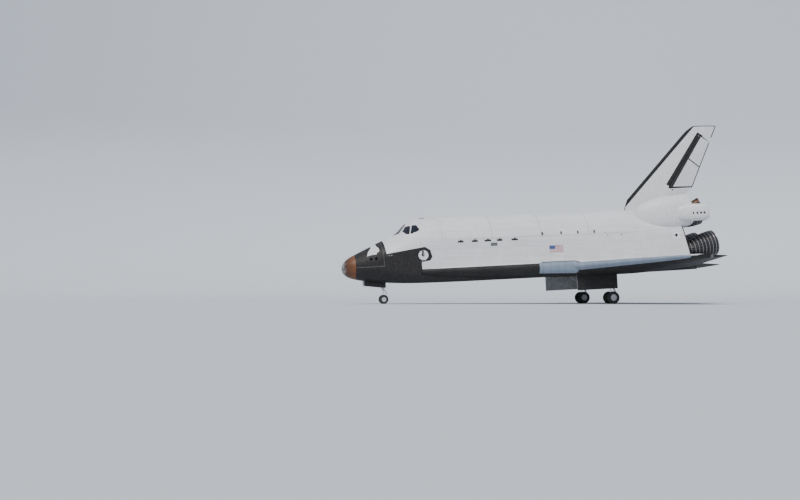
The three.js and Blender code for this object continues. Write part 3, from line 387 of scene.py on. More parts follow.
full = math.sqrt(1 - (1 - CAP_END / CAP_ROUNDNESS) ** 2)
rim = np.array(hull_ring(CAP_END))
rim_centre = (HULL[0][2] + HULL[0][4]) / 2
cap_rings = []
for step in range(CAP_STEPS + 1):
    x = CAP_TIP_X + (CAP_END - SEAT_GAP - CAP_TIP_X) * (step / CAP_STEPS) ** 2
    size = math.sqrt(1 - (1 - x / CAP_ROUNDNESS) ** 2) / full
    centre = CAP_TIP_Z + (rim_centre - CAP_TIP_Z) * x / CAP_END
    cap_rings.append([(x, y * size, centre + (z - rim_centre) * size) for _, y, z in rim])
cap = skinned("nose_cap_shell", cap_rings)
cap.data.materials.append(carbon_with_painted_sheen())
place(cap, "airframe", "nose_cap", slot="nose_cap")

# Nose section
# The hull from the cap to the cabin, under black tiles, with a white patch on top and a seam along its flank.
# Its underside opens into the nose wheel's well. It is one shell, bolted to the cabin's front frame.
NOSE_JOINT = 4.700
NOSE_WELL = {"x": (1.900, 3.870), "half_width": 0.480, "top": -1.950}
CLEAR_TOP = 4.0
BELLY_LINE = -2.000
WHITE_PATCH = [
    # x, z of its corners on each flank; it runs on over the crown
    (2.170, -0.600), (2.300, -0.250), (2.640, 0.160), (2.740, CLEAR_TOP), (3.050, CLEAR_TOP), (3.090, 0.250),
    (3.240, 0.080), (3.250, -0.190), (3.030, -0.350), (2.960, -0.485), (2.610, -0.500), (2.370, -0.550),
]
CABIN_WHITE = [
    # x, z of the outline above which the nose's end and the cabin are white
    (3.590, 2.000), (3.829, -0.490), (7.169, -0.033), (7.638, -0.332), (7.795, -0.958), (7.595, -1.256),
    (6.835, -1.363), (6.854, BELLY_LINE), (10.0, BELLY_LINE), (10.0, CLEAR_TOP), (3.590, CLEAR_TOP),
]
SIDE_PORTS = [(2.486, -0.861), (2.927, -0.842)]  # x, z of the nose thrusters' openings on each flank
TOP_PORTS = [
    # x and y of the openings on top, and how far each leans forward for a metre up
    (1.900, -0.300, 1.2), (2.030, 0, 1.2), (1.900, 0.300, 1.2),
    (2.460, -0.420, 0), (2.460, 0, 0), (2.460, 0.420, 0),
]
SIDE_PORT_RADIUS = 0.120
TOP_PORT_RADIUS = 0.095
PORT_DEPTH = 0.30


def toned(colour, share):
    """A colour made darker or lighter."""
    return tuple(min(value * share, 1) for value in colour)


def tiles(name, side, first, last, gap_colour, roughness, gap=0.008, turn=0.0, worn=0.25, shine=0.5):
    """Square tiles with a gap between them, each its own shade, with streaks where air and rain run back."""
    look = Finish(name, roughness, Specular_IOR_Level=shine)
    shade, gaps = look.bricks(look.place((0, 0, turn), where="UV"), side, side, gap)
    wide = look.noise(look.place(scale=(0.35, 1.2, 1.2)), 1.3, 5.0)
    streaks = look.cloud(look.place(scale=(0.5, 5.0, 5.0)), 2.4, 6.0, 0.45, 0.75)
    aged = look.stain(look.ramp(wide, 0.3, 0.7), worn, look.mix(shade, first, last), gap_colour)
    look.colour(look.stain(gaps, 0.75, look.stain(streaks, worn, aged, last), gap_colour))
    look.rough(wide, roughness - 0.1, roughness + 0.12)
    look.sunk(gaps, 0.004, 0.6)
    return look.material


def blankets(name, colour, seam, size=0.76):
    """Quilted white felt in big squares, with sewn rows across each one and grey streaks along the body."""
    look = Finish(name, 0.82, Specular_IOR_Level=0.25)
    laid = look.place(where="UV")
    shade, seams = look.bricks(laid, size * 1.5, size, 0.012, 0.5)
    _, rows = look.bricks(laid, 0.026, 0.026, 0.004)
    cloth = look.mix(shade, colour, toned(colour, 1.06))
    streaks = look.cloud(look.place(scale=(0.12, 2.2, 2.2)), 1.6, 6.0, 0.45, 0.8)
    blotches = look.cloud(look.place(scale=(0.6, 0.8, 0.8)), 0.9, 4.0, 0.4, 0.8)
    cloth = look.stain(blotches, 0.22, look.stain(streaks, 0.30, cloth, seam), (0.62, 0.60, 0.56))
    look.colour(look.stain(seams, 0.5, cloth, seam))
    look.bump(look.math("SUBTRACT", look.math("MULTIPLY", rows, -0.25), seams), 0.006, 0.5)
    return look.material


def lining(name, colour, rough=0.7, pitch=0.3):
    """Painted frames and foil inside a bay: bands of stringers with grime between them."""
    look = Finish(name, rough)
    where = look.place()
    _, ribs = look.bricks(where, pitch, pitch, 0.02)
    look.colour(look.stain(look.cloud(where, 2.5, 6.0, 0.35, 0.75), 0.7, colour, toned(colour, 0.6)))
    look.bump(ribs, 0.01, 0.6)
    return look.material


def score(piece, points, closed=False, margin=0.02, from_above=False):
    """Cuts a piece's faces along a line of [x, z] points, seen from the side, so a colour can end there."""
    bm = bmesh.new()
    bm.from_mesh(piece.data)
    up = 1 if from_above else 2
    ends = list(zip(points, points[1:] + points[:1] if closed else points[1:]))
    for (x0, z0), (x1, z1) in ends:
        low = (min(x0, x1) - margin, min(z0, z1) - margin)
        high = (max(x0, x1) + margin, max(z0, z1) + margin)
        near = []
        for face in bm.faces:
            xs = [v.co.x for v in face.verts]
            zs = [v.co[up] for v in face.verts]
            if max(xs) > low[0] and min(xs) < high[0] and max(zs) > low[1] and min(zs) < high[1]:
                near.append(face)
        parts = near + list({e for f in near for e in f.edges}) + list({v for f in near for v in f.verts})
        place_on, across = Vector((x0, 0, 0)), Vector((z1 - z0, 0, 0))
        place_on[up], across[up] = z0, x0 - x1
        bmesh.ops.bisect_plane(bm, geom=parts, plane_co=place_on, plane_no=across, dist=1e-5)
    bm.to_mesh(piece.data)
    bm.free()


def within(x, z, points):
    """Whether a point lies inside an outline."""
    odd = False
    for (x0, z0), (x1, z1) in zip(points, points[1:] + points[:1]):
        if (z0 > z) != (z1 > z) and x < (x1 - x0) * (z - z0) / (z1 - z0) + x0:
            odd = not odd
    return odd


def wear(piece, *looks):
    """Gives a piece the looks that its cuts and its paint then choose from by number."""
    for look in looks:
        piece.data.materials.append(look)
    return piece


def dressed(part, look):
    """Gives a whole piece one material."""
    part.data.materials.clear()
    return wear(part, look)


def paint(piece, choose):
    """Picks a look for each face that no cut has marked, by the face's middle and the way it looks."""
    for face in piece.data.polygons:
        if face.material_index == 0:
            face.material_index = choose(face.center, face.normal)


def prism(name, points, axis, low, high):
    """A plane outline carried straight through: [x, z] along y, [y, z] along x, or [x, y] along z."""
    order = {"y": (0, 2, 1), "x": (2, 0, 1), "z": (0, 1, 2)}[axis]
    bm = bmesh.new()
    rings = [[bm.verts.new([(*point, w)[i] for i in order]) for point in points] for w in (low, high)]
    bm.faces.new(rings[0])
    bm.faces.new(list(reversed(rings[1])))
    for i in range(len(points)):
        j = (i + 1) % len(points)
        bm.faces.new([rings[0][j], rings[0][i], rings[1][i], rings[1][j]])
    bmesh.ops.recalc_face_normals(bm, faces=bm.faces)
    return from_bmesh(name, bm)


def box_of(name, x, y, z):
    return prism(name, [(x[0], y[0]), (x[1], y[0]), (x[1], y[1]), (x[0], y[1])], "z", *z)


def carve(piece, tool, how="DIFFERENCE", look=0):
    """Cuts, joins or keeps what two closed bodies share. The tool is used up and leaves faces of one look."""
    if look:
        wear(tool, *piece.data.materials)
        tool.data.polygons.foreach_set("material_index", [look] * len(tool.data.polygons))
    cut = piece.modifiers.new("carve", "BOOLEAN")
    cut.operation, cut.solver, cut.object = how, "EXACT", tool
    settle(piece)
    bpy.data.objects.remove(tool)
    return piece


def evenly(start, end, steps):
    """Values from start to end in even steps, both included."""
    return [start + (end - start) * i / steps for i in range(steps + 1)]


def hull_body(name, start, end, inset=0.0, spacing=0.1):
    count = max(int(round((end - start) / spacing)), 2)
    return skinned(name, [hull_ring(x, inset) for x in evenly(start, end, count)])


def coat(name, colour, rough=0.55, grain=3.0, dirt=0.3):
    """Sprayed paint with a little grime in it."""
    look = Finish(name, rough)
    where = look.place()
    look.colour(look.stain(look.cloud(where, grain, 7.0, 0.4, 0.8), dirt, colour, toned(colour, 0.4)))
    look.rough(look.noise(where, grain * 3), rough * 0.85, rough * 1.2)
    look.bump(look.noise(where, grain * 14, 3.0), 0.0006, 0.3)
    return look.material


def bar(name, start, end, radius, end_radius=None, steps=24):
    """A round bar between two points, tapered if it is given an end radius."""
    start, end = Vector(start), Vector(end)
    length = (end - start).length
    last = radius if end_radius is None else end_radius
    return turned(name, start, end - start, [(0, 0), (0, radius), (length, last), (length, 0)], steps)


def turned(name, origin, axis, profile, steps=48):
    """A profile of (distance, radius) pairs spun about an axis, with metres in its UV map."""
    turn = Vector((1, 0, 0)).rotation_difference(Vector(axis).normalized()).to_matrix()
    origin = Vector(origin)
    bm = bmesh.new()
    uv = bm.loops.layers.uv.new("UVMap")
    widest = max(radius for _, radius in profile)
    rings, reach, gone = [], [], 0.0
    for i, (along, radius) in enumerate(profile):
        if i:
            gone += math.dist(profile[i - 1], (along, radius))
        reach.append(gone)
        angles = [2 * math.pi * j / steps for j in range(steps if radius > 1e-6 else 1)]
        spots = [Vector((along, radius * math.cos(a), radius * math.sin(a))) for a in angles]
        rings.append([bm.verts.new(origin + turn @ spot) for spot in spots])
    for i in range(len(rings) - 1):
        for j in range(steps):
            k = (j + 1) % steps
            corners = [(i, j), (i, k), (i + 1, k), (i + 1, j)]
            points, seen = [], set()
            for row, column in corners:
                vert = rings[row][column if len(rings[row]) > 1 else 0]
                if vert not in seen:
                    seen.add(vert)
                    points.append((vert, reach[row], (column if column or j == 0 else steps) / steps))
            if len(points) < 3:
                continue
            face = bm.faces.new([vert for vert, _, _ in points])
            for loop, (_, u, share) in zip(face.loops, points):
                loop[uv].uv = (u, share * 2 * math.pi * widest)
    bmesh.ops.remove_doubles(bm, verts=bm.verts, dist=1e-6)
    bmesh.ops.recalc_face_normals(bm, faces=bm.faces)
    return from_bmesh(name, bm)


BLACK_TILE = 0.152  # the side of a tile
WHITE_TILE = 0.205
black_tile = tiles("black tiles", BLACK_TILE, (0.0120, 0.0112, 0.0118), (0.0275, 0.0250, 0.0245),
                   (0.008, 0.008, 0.009), 0.56, gap=0.007, turn=math.pi / 4, worn=0.2, shine=0.35)
white_tile = tiles("white tiles", WHITE_TILE, (0.70, 0.70, 0.72), (0.78, 0.78, 0.79), (0.50, 0.50, 0.52), 0.5,
                   worn=0.18)
white_blanket = blankets("white blankets", (0.70, 0.705, 0.725), (0.44, 0.44, 0.46))
well_lining = lining("well lining", (0.42, 0.44, 0.36))

nose = hull_body("nose_section_shell", CAP_END, NOSE_JOINT - SEAT_GAP)
well_width = NOSE_WELL["half_width"]
port_dark = coat("port dark", (0.020, 0.020, 0.024), 0.5)
wear(nose, white_tile, black_tile, well_lining, port_dark)
carve(nose, box_of("tool", NOSE_WELL["x"], (-well_width, well_width), (-3.6, NOSE_WELL["top"])), look=2)
for x, z in SIDE_PORTS:
    skin = hull_at(x)[0]
    for side in (-1, 1):
        inner, outer = (x, side * (skin - PORT_DEPTH), z), (x, side * (skin + PORT_DEPTH), z)
        carve(nose, bar("tool", inner, outer, SIDE_PORT_RADIUS, steps=40), look=3)
for x, y, lean in TOP_PORTS:
    crown = hull_at(x)[1]
    foot, head = (x + lean * 0.15, y, crown - 0.20), (x - lean * 0.35, y, crown + 0.35)
    carve(nose, bar("tool", foot, head, TOP_PORT_RADIUS, steps=40), look=3)
score(nose, WHITE_PATCH, closed=True)
score(nose, CABIN_WHITE[:3])
white_areas = (WHITE_PATCH, CABIN_WHITE)
paint(nose, lambda middle, _: 0 if any(within(middle.x, middle.z, area) for area in white_areas) else 1)
place(nose, "airframe", "nose_section", slot="black_tile")

# Crew cabin
# The forward fuselage's shell round the crew's pressure cabin: white tiles and blankets over black flanks.
# Its windows and the round hatchway on the port side are cut right through the wall.
BAY_FRONT = 8.788
WALL = 0.130
CABIN_FRONT = 4.850
SIDE_WINDOWS = [
    # [x, z] outlines of the panes on each side
    [(6.060, 1.260), (6.150, 1.175), (6.694, 1.395), (6.880, 1.560), (6.670, 1.980), (6.290, 1.975)],
    [(5.460, 1.477), (5.680, 1.185), (5.965, 1.162), (6.180, 1.955), (5.800, 1.905)],
]
FRONT_WINDOW = [(-0.060, 1.250), (-0.980, 1.250), (-0.890, 1.600), (-0.640, 2.100), (-0.060, 2.200)]  # [y, z]
TOP_WINDOW = [(7.180, -0.680), (7.640, -0.680), (7.640, -0.160), (7.180, -0.160)]  # [x, y]
HATCH = {"x": 7.010, "z": -0.762, "radius": 0.508, "gap": 0.018}


def rounded(points, radius):
    """An outline with its corners rounded off."""
    smooth = []
    for i, corner in enumerate(points):
        here = Vector(corner)
        before = (Vector(points[i - 1]) - here).normalized()
        after = (Vector(points[(i + 1) % len(points)]) - here).normalized()
        reach = radius / math.tan(before.angle(after) / 2)
        first, last = here + before * reach, here + after * reach
        for t in evenly(0, 1, 4):
            smooth.append(tuple(first * (1 - t) ** 2 + here * 2 * t * (1 - t) + last * t * t))
    return smooth


def window_tools():
    """Bodies as wide as each window, to cut with: two on each side, and one in front and one overhead."""
    tools = []
    for outline in SIDE_WINDOWS:
        for side in (-1, 1):
            reach = sorted((side * 0.7, side * 2.45))
            tools.append(prism("side_tool", rounded(outline, 0.06), "y", *reach))
    for side, outline in ((-1, FRONT_WINDOW), (1, [(-y, z) for y, z in reversed(FRONT_WINDOW)])):
        tools.append(prism("front_tool", rounded(outline, 0.05), "x", 4.70, 6.25))
        overhead = rounded([(x, -side * y) for x, y in TOP_WINDOW], 0.07)
        tools.append(prism("top_tool", overhead, "z", 2.20, 2.90))
    return tools


def disc(x, z, radius, steps=28):
    return [(x + radius * math.cos(a), z + radius * math.sin(a)) for a in evenly(0, 2 * math.pi, steps)[:-1]]


def hatch_tool(radius, steps=64):
    return prism("hatch_tool", disc(HATCH["x"], HATCH["z"], radius, steps), "y", -3.0, -1.5)


cabin_wall = lining("cabin wall", (0.34, 0.36, 0.38), rough=0.8, pitch=0.45)
cabin = hull_body("cabin_shell", NOSE_JOINT, BAY_FRONT - SEAT_GAP, spacing=0.08)
wear(cabin, white_tile, black_tile, white_blanket, cabin_wall)
carve(cabin, hull_body("tool", CABIN_FRONT, BAY_FRONT + 0.05, WALL), look=3)
for tool in window_tools():
    carve(cabin, tool, look=1)
carve(cabin, hatch_tool(HATCH["radius"] + HATCH["gap"]), look=1)
score(cabin, CABIN_WHITE[1:9])
BLANKET_START = 7.45
score(cabin, [(BLANKET_START, -4), (BLANKET_START, 4)])


def cabin_colour(middle, _):
    if not within(middle.x, middle.z, CABIN_WHITE):
        return 1
    return 2 if middle.x > BLANKET_START and middle.z < 1.9 else 0


paint(cabin, cabin_colour)
place(cabin, "airframe", "forward_fuselage", slot="white_skin")

# Windows
# Each opening has an outer thermal pane, let in just under the skin and held by the rim of the opening.
# A pressure layer lines the cabin wall's inner face behind them. Both are dark coated glass.
PANE_INSET = 0.028
PANE_THICK = 0.014
PRESSURE_THICK = 0.045  # from the cabin wall's inner face


def dark_glass(name, alpha):
    look = Finish(name, 0.07, Specular_IOR_Level=0.45, Coat_Weight=0.15, Coat_Roughness=0.03, Alpha=alpha)
    look.colour(look.cloud(look.place(), 0.8, 2.0, 0.3, 0.7, (0.006, 0.008, 0.016), (0.013, 0.017, 0.030)))
    return look.material


def cabin_layer(name, outer, inner, end=7.0, top=2.30):
    layer = hull_body(name, 5.0, end, outer, spacing=0.05)
    carve(layer, hull_body("tool", 4.9, end + 0.1, inner, spacing=0.05))
    return carve(layer, box_of("tool", (4.99, end + 0.01), (-2.45, 2.45), (1.15, top)), "INTERSECT")


def copy_of(part, name):
    return added(name, part.data.copy())


pressure_panes = cabin_layer("pressure_panes", WALL + SEAT_GAP, WALL + PRESSURE_THICK)
wear(pressure_panes, dark_glass("inner glass", 0.80))
place(pressure_panes, "airframe", "windscreen", slot="window_glass")

outer_glass = dark_glass("outer glass", 0.86)
layer = cabin_layer("tool", PANE_INSET, PANE_INSET + PANE_THICK, 7.8, 2.8)
for number, tool in enumerate(window_tools()):
    tool.name = f"thermal_pane_{number + 1}"
    pane = carve(tool, copy_of(layer, "tool"), "INTERSECT")
    place(dressed(pane, outer_glass), "airframe", slot="window_glass")
bpy.data.objects.remove(layer)

# Crew hatch
# A round plug door of the cabin's own wall on the port side, white tiles with a dark ring and a small window.
# It hangs on two hinges below it, between lugs that belong to the cabin.


def merged(name, parts):
    """Several loose pieces as one, each face keeping its own material."""
    looks = []
    bm = bmesh.new()
    for part in parts:
        first = len(bm.faces)
        bm.from_mesh(part.data)
        bm.faces.ensure_lookup_table()
        own = list(part.data.materials) or [None]
        for look in own:
            if look not in looks:
                looks.append(look)
        for face in bm.faces[first:]:
            face.material_index = looks.index(own[min(face.material_index, len(own) - 1)])
        bpy.data.objects.remove(part)
    made = from_bmesh(name, bm)
    for look in filter(None, looks):
        made.data.materials.append(look)
    return made


def soften(part, width, segments=2):
    """Rounds off a piece's sharp edges."""
    bevel = part.modifiers.new("soften", "BEVEL")
    bevel.width, bevel.segments = width, segments
    bevel.limit_method, bevel.angle_limit = "ANGLE", math.radians(40)
    return settle(part)


def mirror_y(part, name):
    """The starboard twin of a port piece, or the other way round."""
    twin = copy_of(part, name)
    twin.data.transform(Matrix.Scale(-1, 4, (0, 1, 0)))
    twin.data.flip_normals()
    return twin


def block(name, x, y, z, look, edge=0.0, segments=2):
    """A box of one look, with its edges rounded off if it is given a width for that."""
    box = box_of(name, x, y, z)
    return dressed(soften(box, edge, segments) if edge else box, look)


def rod(name, start, end, radius, look, end_radius=None, steps=24):
    return dressed(bar(name, start, end, radius, end_radius, steps), look)


def metal(name, colour, rough=0.4, grain=6.0, metallic=1.0, stain=0.5):
    look = Finish(name, rough, metallic)
    where = look.place()
    look.colour(look.stain(look.cloud(where, grain, 6.0, 0.35, 0.75), stain, colour, toned(colour, 0.55)))
    look.rough(look.noise(where, grain * 2.3, 5.0), rough * 0.75, rough * 1.4, 0.8)
    look.bump(look.noise(where, grain * 6, 3.0), 0.0008, 0.4)
    return look.material


bare_metal = metal("bare metal", (0.56, 0.57, 0.58), 0.34)
dark_metal = metal("dark metal", (0.10, 0.10, 0.105), 0.45)
HATCH_HINGE = {"y": 2.557, "z": -1.290, "lug": 0.050, "pin": 0.009, "eye": 0.015, "spread": 0.150}


def lugs(name, hinge, xs, arm, fixed):
    """A hinge's eyes to port, on arms outlined as [y, z] from its axis; the fixed ones carry the pins."""
    y0, z0, wide = -hinge["y"], hinge["z"], hinge["lug"]
    parts = []
    for x in xs:
        low, high = x - wide / 2, x + wide / 2
        pin_start = low - 0.008
        if fixed:
            low, high = high + 0.0003, high + wide
        parts.append(prism("lug", [(y + y0, z + z0) for y, z in arm], "x", low, high))
        parts.append(bar("eye", (low, y0, z0), (high, y0, z0), hinge["eye"]))
        if fixed:
            parts.append(bar("pin", (pin_start, y0, z0), (high, y0, z0), hinge["pin"]))
    return merged(name, [dressed(part, bare_metal) for part in parts])


ring_dark = coat("hatch seal", (0.035, 0.035, 0.04), 0.6)
hatch = hull_body("crew_hatch_door", 6.3, 7.7, spacing=0.05)
wear(hatch, white_tile, cabin_wall, ring_dark, black_tile)
carve(hatch, hull_body("tool", 6.2, 7.8, WALL, spacing=0.05), look=1)
carve(hatch, hatch_tool(HATCH["radius"], steps=96), "INTERSECT", look=2)
HATCH_WHITE = 0.435  # the white disc's radius, inside a ring of black tiles
score(hatch, disc(HATCH["x"], HATCH["z"], HATCH_WHITE, 48), closed=True, margin=0.0)
hatch_at = (HATCH["x"], HATCH["z"])
paint(hatch, lambda middle, _: 0 if math.dist((middle.x, middle.z), hatch_at) < HATCH_WHITE else 3)
hatch_x = [HATCH["x"] - HATCH_HINGE["spread"], HATCH["x"] + HATCH_HINGE["spread"]]
HATCH_ARM = [(-0.015, 0), (-0.012, 0.100), (0.080, 0.120), (0.080, 0.075), (0.009, 0.060), (0.009, 0)]
HATCH_SEAT = [(-0.015, 0), (-0.012, -0.060), (0.080, -0.080), (0.080, -0.010), (0.009, -0.005), (0.009, 0)]
port_skin = max(y for y, z in hull_half(HATCH["x"]) if abs(z - HATCH["z"]) < 0.2)
window_at = Vector((HATCH["x"], -port_skin + 0.02, HATCH["z"] + 0.05))
window_ring = dressed(turned("window_ring", window_at, (0, -1, 0), [
    (0, 0.100), (0.024, 0.100), (0.030, 0.108), (0.030, 0.150), (0.020, 0.168), (0, 0.168), (0, 0.1),
]), ring_dark)
port_glass = dark_glass("port glass", 1.0)
window_pane = rod("window_pane", window_at, window_at - Vector((0, 0.022, 0)), 0.101, port_glass, steps=40)
# A thin dark plate on the door's skin, from just above the window up towards the door's top.
HATCH_DARK_PLATE = [(6.925, -0.600), (6.860, -0.365), (6.960, -0.340), (7.050, -0.345), (7.085, -0.590)]  # [x, z]
notch = dressed(prism("notch", HATCH_DARK_PLATE, "y", -port_skin - 0.004, -port_skin + 0.02), ring_dark)
hinges = lugs("hinges", HATCH_HINGE, hatch_x, HATCH_ARM, False)
hatch = merged("crew_hatch_piece", [hatch, hinges, window_ring, window_pane, notch])
place(hatch, "crew_hatch", "crew_hatch", slot="white_skin")
place(lugs("hatch_lugs", HATCH_HINGE, hatch_x, HATCH_SEAT, True), "airframe")

# Cabin inside
# The bulkhead closes the cabin off from the cargo bay, and carries the airlock's round hatch into the bay.
# The flight deck has a floor with two hatchways, an instrument panel, and a pedestal between two seats.
BULKHEAD = 0.140
DECK_Z = 0.420
AIRLOCK_Z = -0.70
AIRLOCK_RIM = [
    # how far it stands into the bay, and its radius
    (0, 0), (0, 0.56), (0.30, 0.56), (0.31, 0.575), (0.36, 0.575), (0.37, 0.56), (0.46, 0.56), (0.48, 0.54),
    (0.48, 0.47), (0.44, 0.46), (0.44, 0.0),
]
HATCH_WHEEL = [(0, 0.0), (0, 0.40), (0.02, 0.41), (0.035, 0.36), (0.035, 0.14), (0.05, 0.12), (0.05, 0)]
CONSOLE = [(5.33, DECK_Z - 0.01), (5.95, DECK_Z - 0.01), (6.0, 1.05), (5.65, 1.18), (5.33, 1.05)]  # [x, z]
SEAT_SHELL = [(6.56, 0.74), (7.24, 0.74), (7.43, 1.72), (7.31, 1.74), (7.10, 0.88), (6.56, 0.86)]  # [x, z]
panel_grey = coat("panel grey", (0.30, 0.31, 0.33), 0.6)
panel_dark = coat("panel dark", (0.05, 0.052, 0.058), 0.5)
seat_cloth = coat("seat cloth", (0.20, 0.19, 0.16), 0.9, 9.0)
foil = metal("bay foil", (0.80, 0.80, 0.77), 0.35, 3.0, 0.4, 0.35)


def rect(x, z, width, height):
    return [(x - width / 2, z - height / 2), (x + width / 2, z - height / 2),
            (x + width / 2, z + height / 2), (x - width / 2, z + height / 2)]


def within_cabin(tool, look):
    """What a body shares with the space inside the cabin's wall."""
    space = hull_body("space", CABIN_FRONT, BAY_FRONT + 0.05, WALL + SEAT_GAP)
    return dressed(carve(space, tool, "INTERSECT"), look)


lever_x = BAY_FRONT + 0.435
bulkhead_parts = [
    within_cabin(box_of("tool", (BAY_FRONT - BULKHEAD, BAY_FRONT - SEAT_GAP), (-3, 3), (-4, 4)), foil),
    dressed(turned("airlock", (BAY_FRONT - 0.06, 0, AIRLOCK_Z), (1, 0, 0), AIRLOCK_RIM, 64), foil),
    dressed(turned("wheel", (BAY_FRONT + 0.38, 0, AIRLOCK_Z), (1, 0, 0), HATCH_WHEEL), bare_metal),
    rod("lever", (lever_x, -0.25, -0.85), (lever_x, 0.25, -0.55), 0.015, bare_metal),
]
for y in (-0.40, 0.40):
    for width, reach, look in ((0.44, 0.030, bare_metal), (0.34, 0.034, port_glass)):
        outline = rounded(rect(y, 1.50, width, width), 0.07)
        pane = prism("bay_window", outline, "x", BAY_FRONT - 0.02, BAY_FRONT + reach)
        bulkhead_parts.append(dressed(pane, look))
place(merged("bulkhead_and_airlock", bulkhead_parts), "airframe", "cabin_bulkhead", slot="white_skin")

deck_x = (5.3, BAY_FRONT - BULKHEAD - SEAT_GAP)
deck = within_cabin(box_of("tool", deck_x, (-2.6, 2.6), (DECK_Z - 0.09, DECK_Z)), panel_grey)
for hatchway_y in ((-1.90, -1.25), (1.25, 1.90)):
    carve(deck, box_of("tool", (7.75, 8.35), hatchway_y, (0.2, 0.5)))
cabin_parts = [deck, within_cabin(prism("tool", CONSOLE, "y", -1.15, 1.15), panel_dark)]
screen_look = plain_material("dark screens", (0.01, 0.014, 0.018), 0.15)
for y in (-0.85, -0.55, -0.25, 0.05, 0.35, 0.65):
    cabin_parts.append(block("screen", (5.985, 6.002), (y, y + 0.22), (0.80, 1.0), screen_look))
cabin_parts.append(block("pedestal", (5.8, 7.0), (-0.18, 0.18), (DECK_Z - 0.01, 0.9), panel_grey, 0.02))
for y in (-0.65, 0.65):
    shell = soften(prism("shell", SEAT_SHELL, "y", y - 0.26, y + 0.26), 0.03)
    cabin_parts += [
        block("pan", (6.70, 7.15), (y - 0.24, y + 0.24), (DECK_Z - 0.01, 0.76), panel_grey, 0.03),
        dressed(shell, seat_cloth),
        block("rest", (7.23, 7.30), (y - 0.15, y + 0.15), (1.45, 1.70), seat_cloth, 0.02),
    ]
place(merged("flight_deck_inside", cabin_parts), "airframe", "flight_deck", slot="cabin_interior")

# Mid fuselage
# The long trough of the cargo bay: a shell to the door sills, with its frames and longerons inside.
# Its flanks are white and its belly black, with vents, a hold-down plate and a painted flag under the sill.
BAY_BACK = 27.076
BAY_RADIUS = 2.330
WING_LINE = -2.620  # where the white of the flank ends above the wing
WING_START = 18.400
SILL_Z = 0.508


def repeater():
    """A node tree that repeats a part by a step, a turn or both, and gives each copy the same material."""
    tree = bpy.data.node_groups.new("repeater", "GeometryNodeTree")
    sockets = {"Part": "Object", "Count": "Int", "Step": "Vector", "Turn": "Vector", "Look": "Material"}
    for socket, kind in sockets.items():
        tree.interface.new_socket(name=socket, in_out="INPUT", socket_type=f"NodeSocket{kind}")
    tree.interface.new_socket(name="Geometry", in_out="OUTPUT", socket_type="NodeSocketGeometry")
    given = tree.nodes.new("NodeGroupInput")
    line = tree.nodes.new("GeometryNodeMeshLine")
    part = tree.nodes.new("GeometryNodeObjectInfo")
    index = tree.nodes.new("GeometryNodeInputIndex")
    turn = tree.nodes.new("ShaderNodeVectorMath")
    turn.operation = "SCALE"
    copies = tree.nodes.new("GeometryNodeInstanceOnPoints")
    real = tree.nodes.new("GeometryNodeRealizeInstances")
    look = tree.nodes.new("GeometryNodeSetMaterial")
    end = tree.nodes.new("NodeGroupOutput")
    for source, socket, sink, into in (
        (given, "Part", part, "Object"), (given, "Count", line, "Count"), (given, "Step", line, "Offset"),
        (given, "Turn", turn, 0), (index, "Index", turn, "Scale"), (line, "Mesh", copies, "Points"),
        (part, "Geometry", copies, "Instance"), (turn, "Vector", copies, "Rotation"),
        (copies, "Instances", real, "Geometry"), (real, "Geometry", look, "Geometry"),
        (given, "Look", look, "Material"), (look, "Geometry", end, "Geometry"),
    ):
        tree.links.new(source.outputs[socket], sink.inputs[into])
    return tree


repeater_tree = repeater()


def repeated(name, part, look, count, step=(0, 0, 0), turn=(0, 0, 0)):
    """Copies of a part, each one a step and a turn on from the last. The part is used up."""
    made = added(name, bpy.data.meshes.new(name))
    copies = made.modifiers.new("repeats", "NODES")
    copies.node_group = repeater_tree
    values = {"Part": part, "Count": count, "Step": step, "Turn": turn, "Look": look}
    for item in repeater_tree.interface.items_tree:
        if item.in_out == "INPUT":
            copies[item.identifier] = values[item.name]
    settle(made)
    bpy.data.objects.remove(part)
    return dressed(made, look)


def arc(radius, centre_z, start, end, steps):
    """Points [y, z] round an arc about the centre line, its angles from the starboard side up, in degrees."""
    angles = [math.radians(angle) for angle in evenly(start, end, steps)]
    return [(radius * math.cos(a), centre_z + radius * math.sin(a)) for a in angles]


bay_liner = lining("bay liner", (0.52, 0.54, 0.44), rough=0.65, pitch=0.6)
mid = hull_body("mid_fuselage_shell", BAY_FRONT, BAY_BACK - SEAT_GAP, spacing=0.4)
wear(mid, white_blanket, black_tile, bay_liner)
bay_x = (BAY_FRONT - 0.1, BAY_BACK + 0.1)
carve(mid, bar("tool", (bay_x[0], 0, 0), (bay_x[1], 0, 0), BAY_RADIUS, steps=160), look=2)
carve(mid, box_of("tool", bay_x, (-4, 4), (SILL_Z, 4)), look=2)
carve(mid, box_of("tool", bay_x, (-BAY_RADIUS, BAY_RADIUS), (0, 4)), look=2)
belly_edge = [
    (BAY_FRONT, BELLY_LINE), (WING_START, BELLY_LINE), (WING_START, WING_LINE), (BAY_BACK, WING_LINE),
]
score(mid, belly_edge)
paint(mid, lambda middle, _: 1 if middle.z < (BELLY_LINE if middle.x < WING_START else WING_LINE) else 0)
place(mid, "airframe", "mid_fuselage", slot="white_skin")
DOOR_HINGE = {"y": 2.626, "z": 0.514, "lug": 0.050, "pin": 0.009, "eye": 0.015}
DOOR_SEAT = [(-0.015, 0), (-0.008, -0.060), (0.060, -0.080), (0.060, -0.007), (0.015, 0)]
DOOR_ARM = [(-0.015, 0), (0, 0.070), (0.060, 0.090), (0.060, 0.020), (0.015, 0)]
BAY_LENGTH = BAY_BACK - BAY_FRONT
door_hinge_x = [BAY_FRONT + BAY_LENGTH * (i + 0.5) / 3 for i in range(3)]
sill_lugs = lugs("sill_lugs_left", DOOR_HINGE, door_hinge_x, DOOR_SEAT, True)
for piece in (sill_lugs, mirror_y(sill_lugs, "sill_lugs_right.001")):
    place(piece, "airframe")

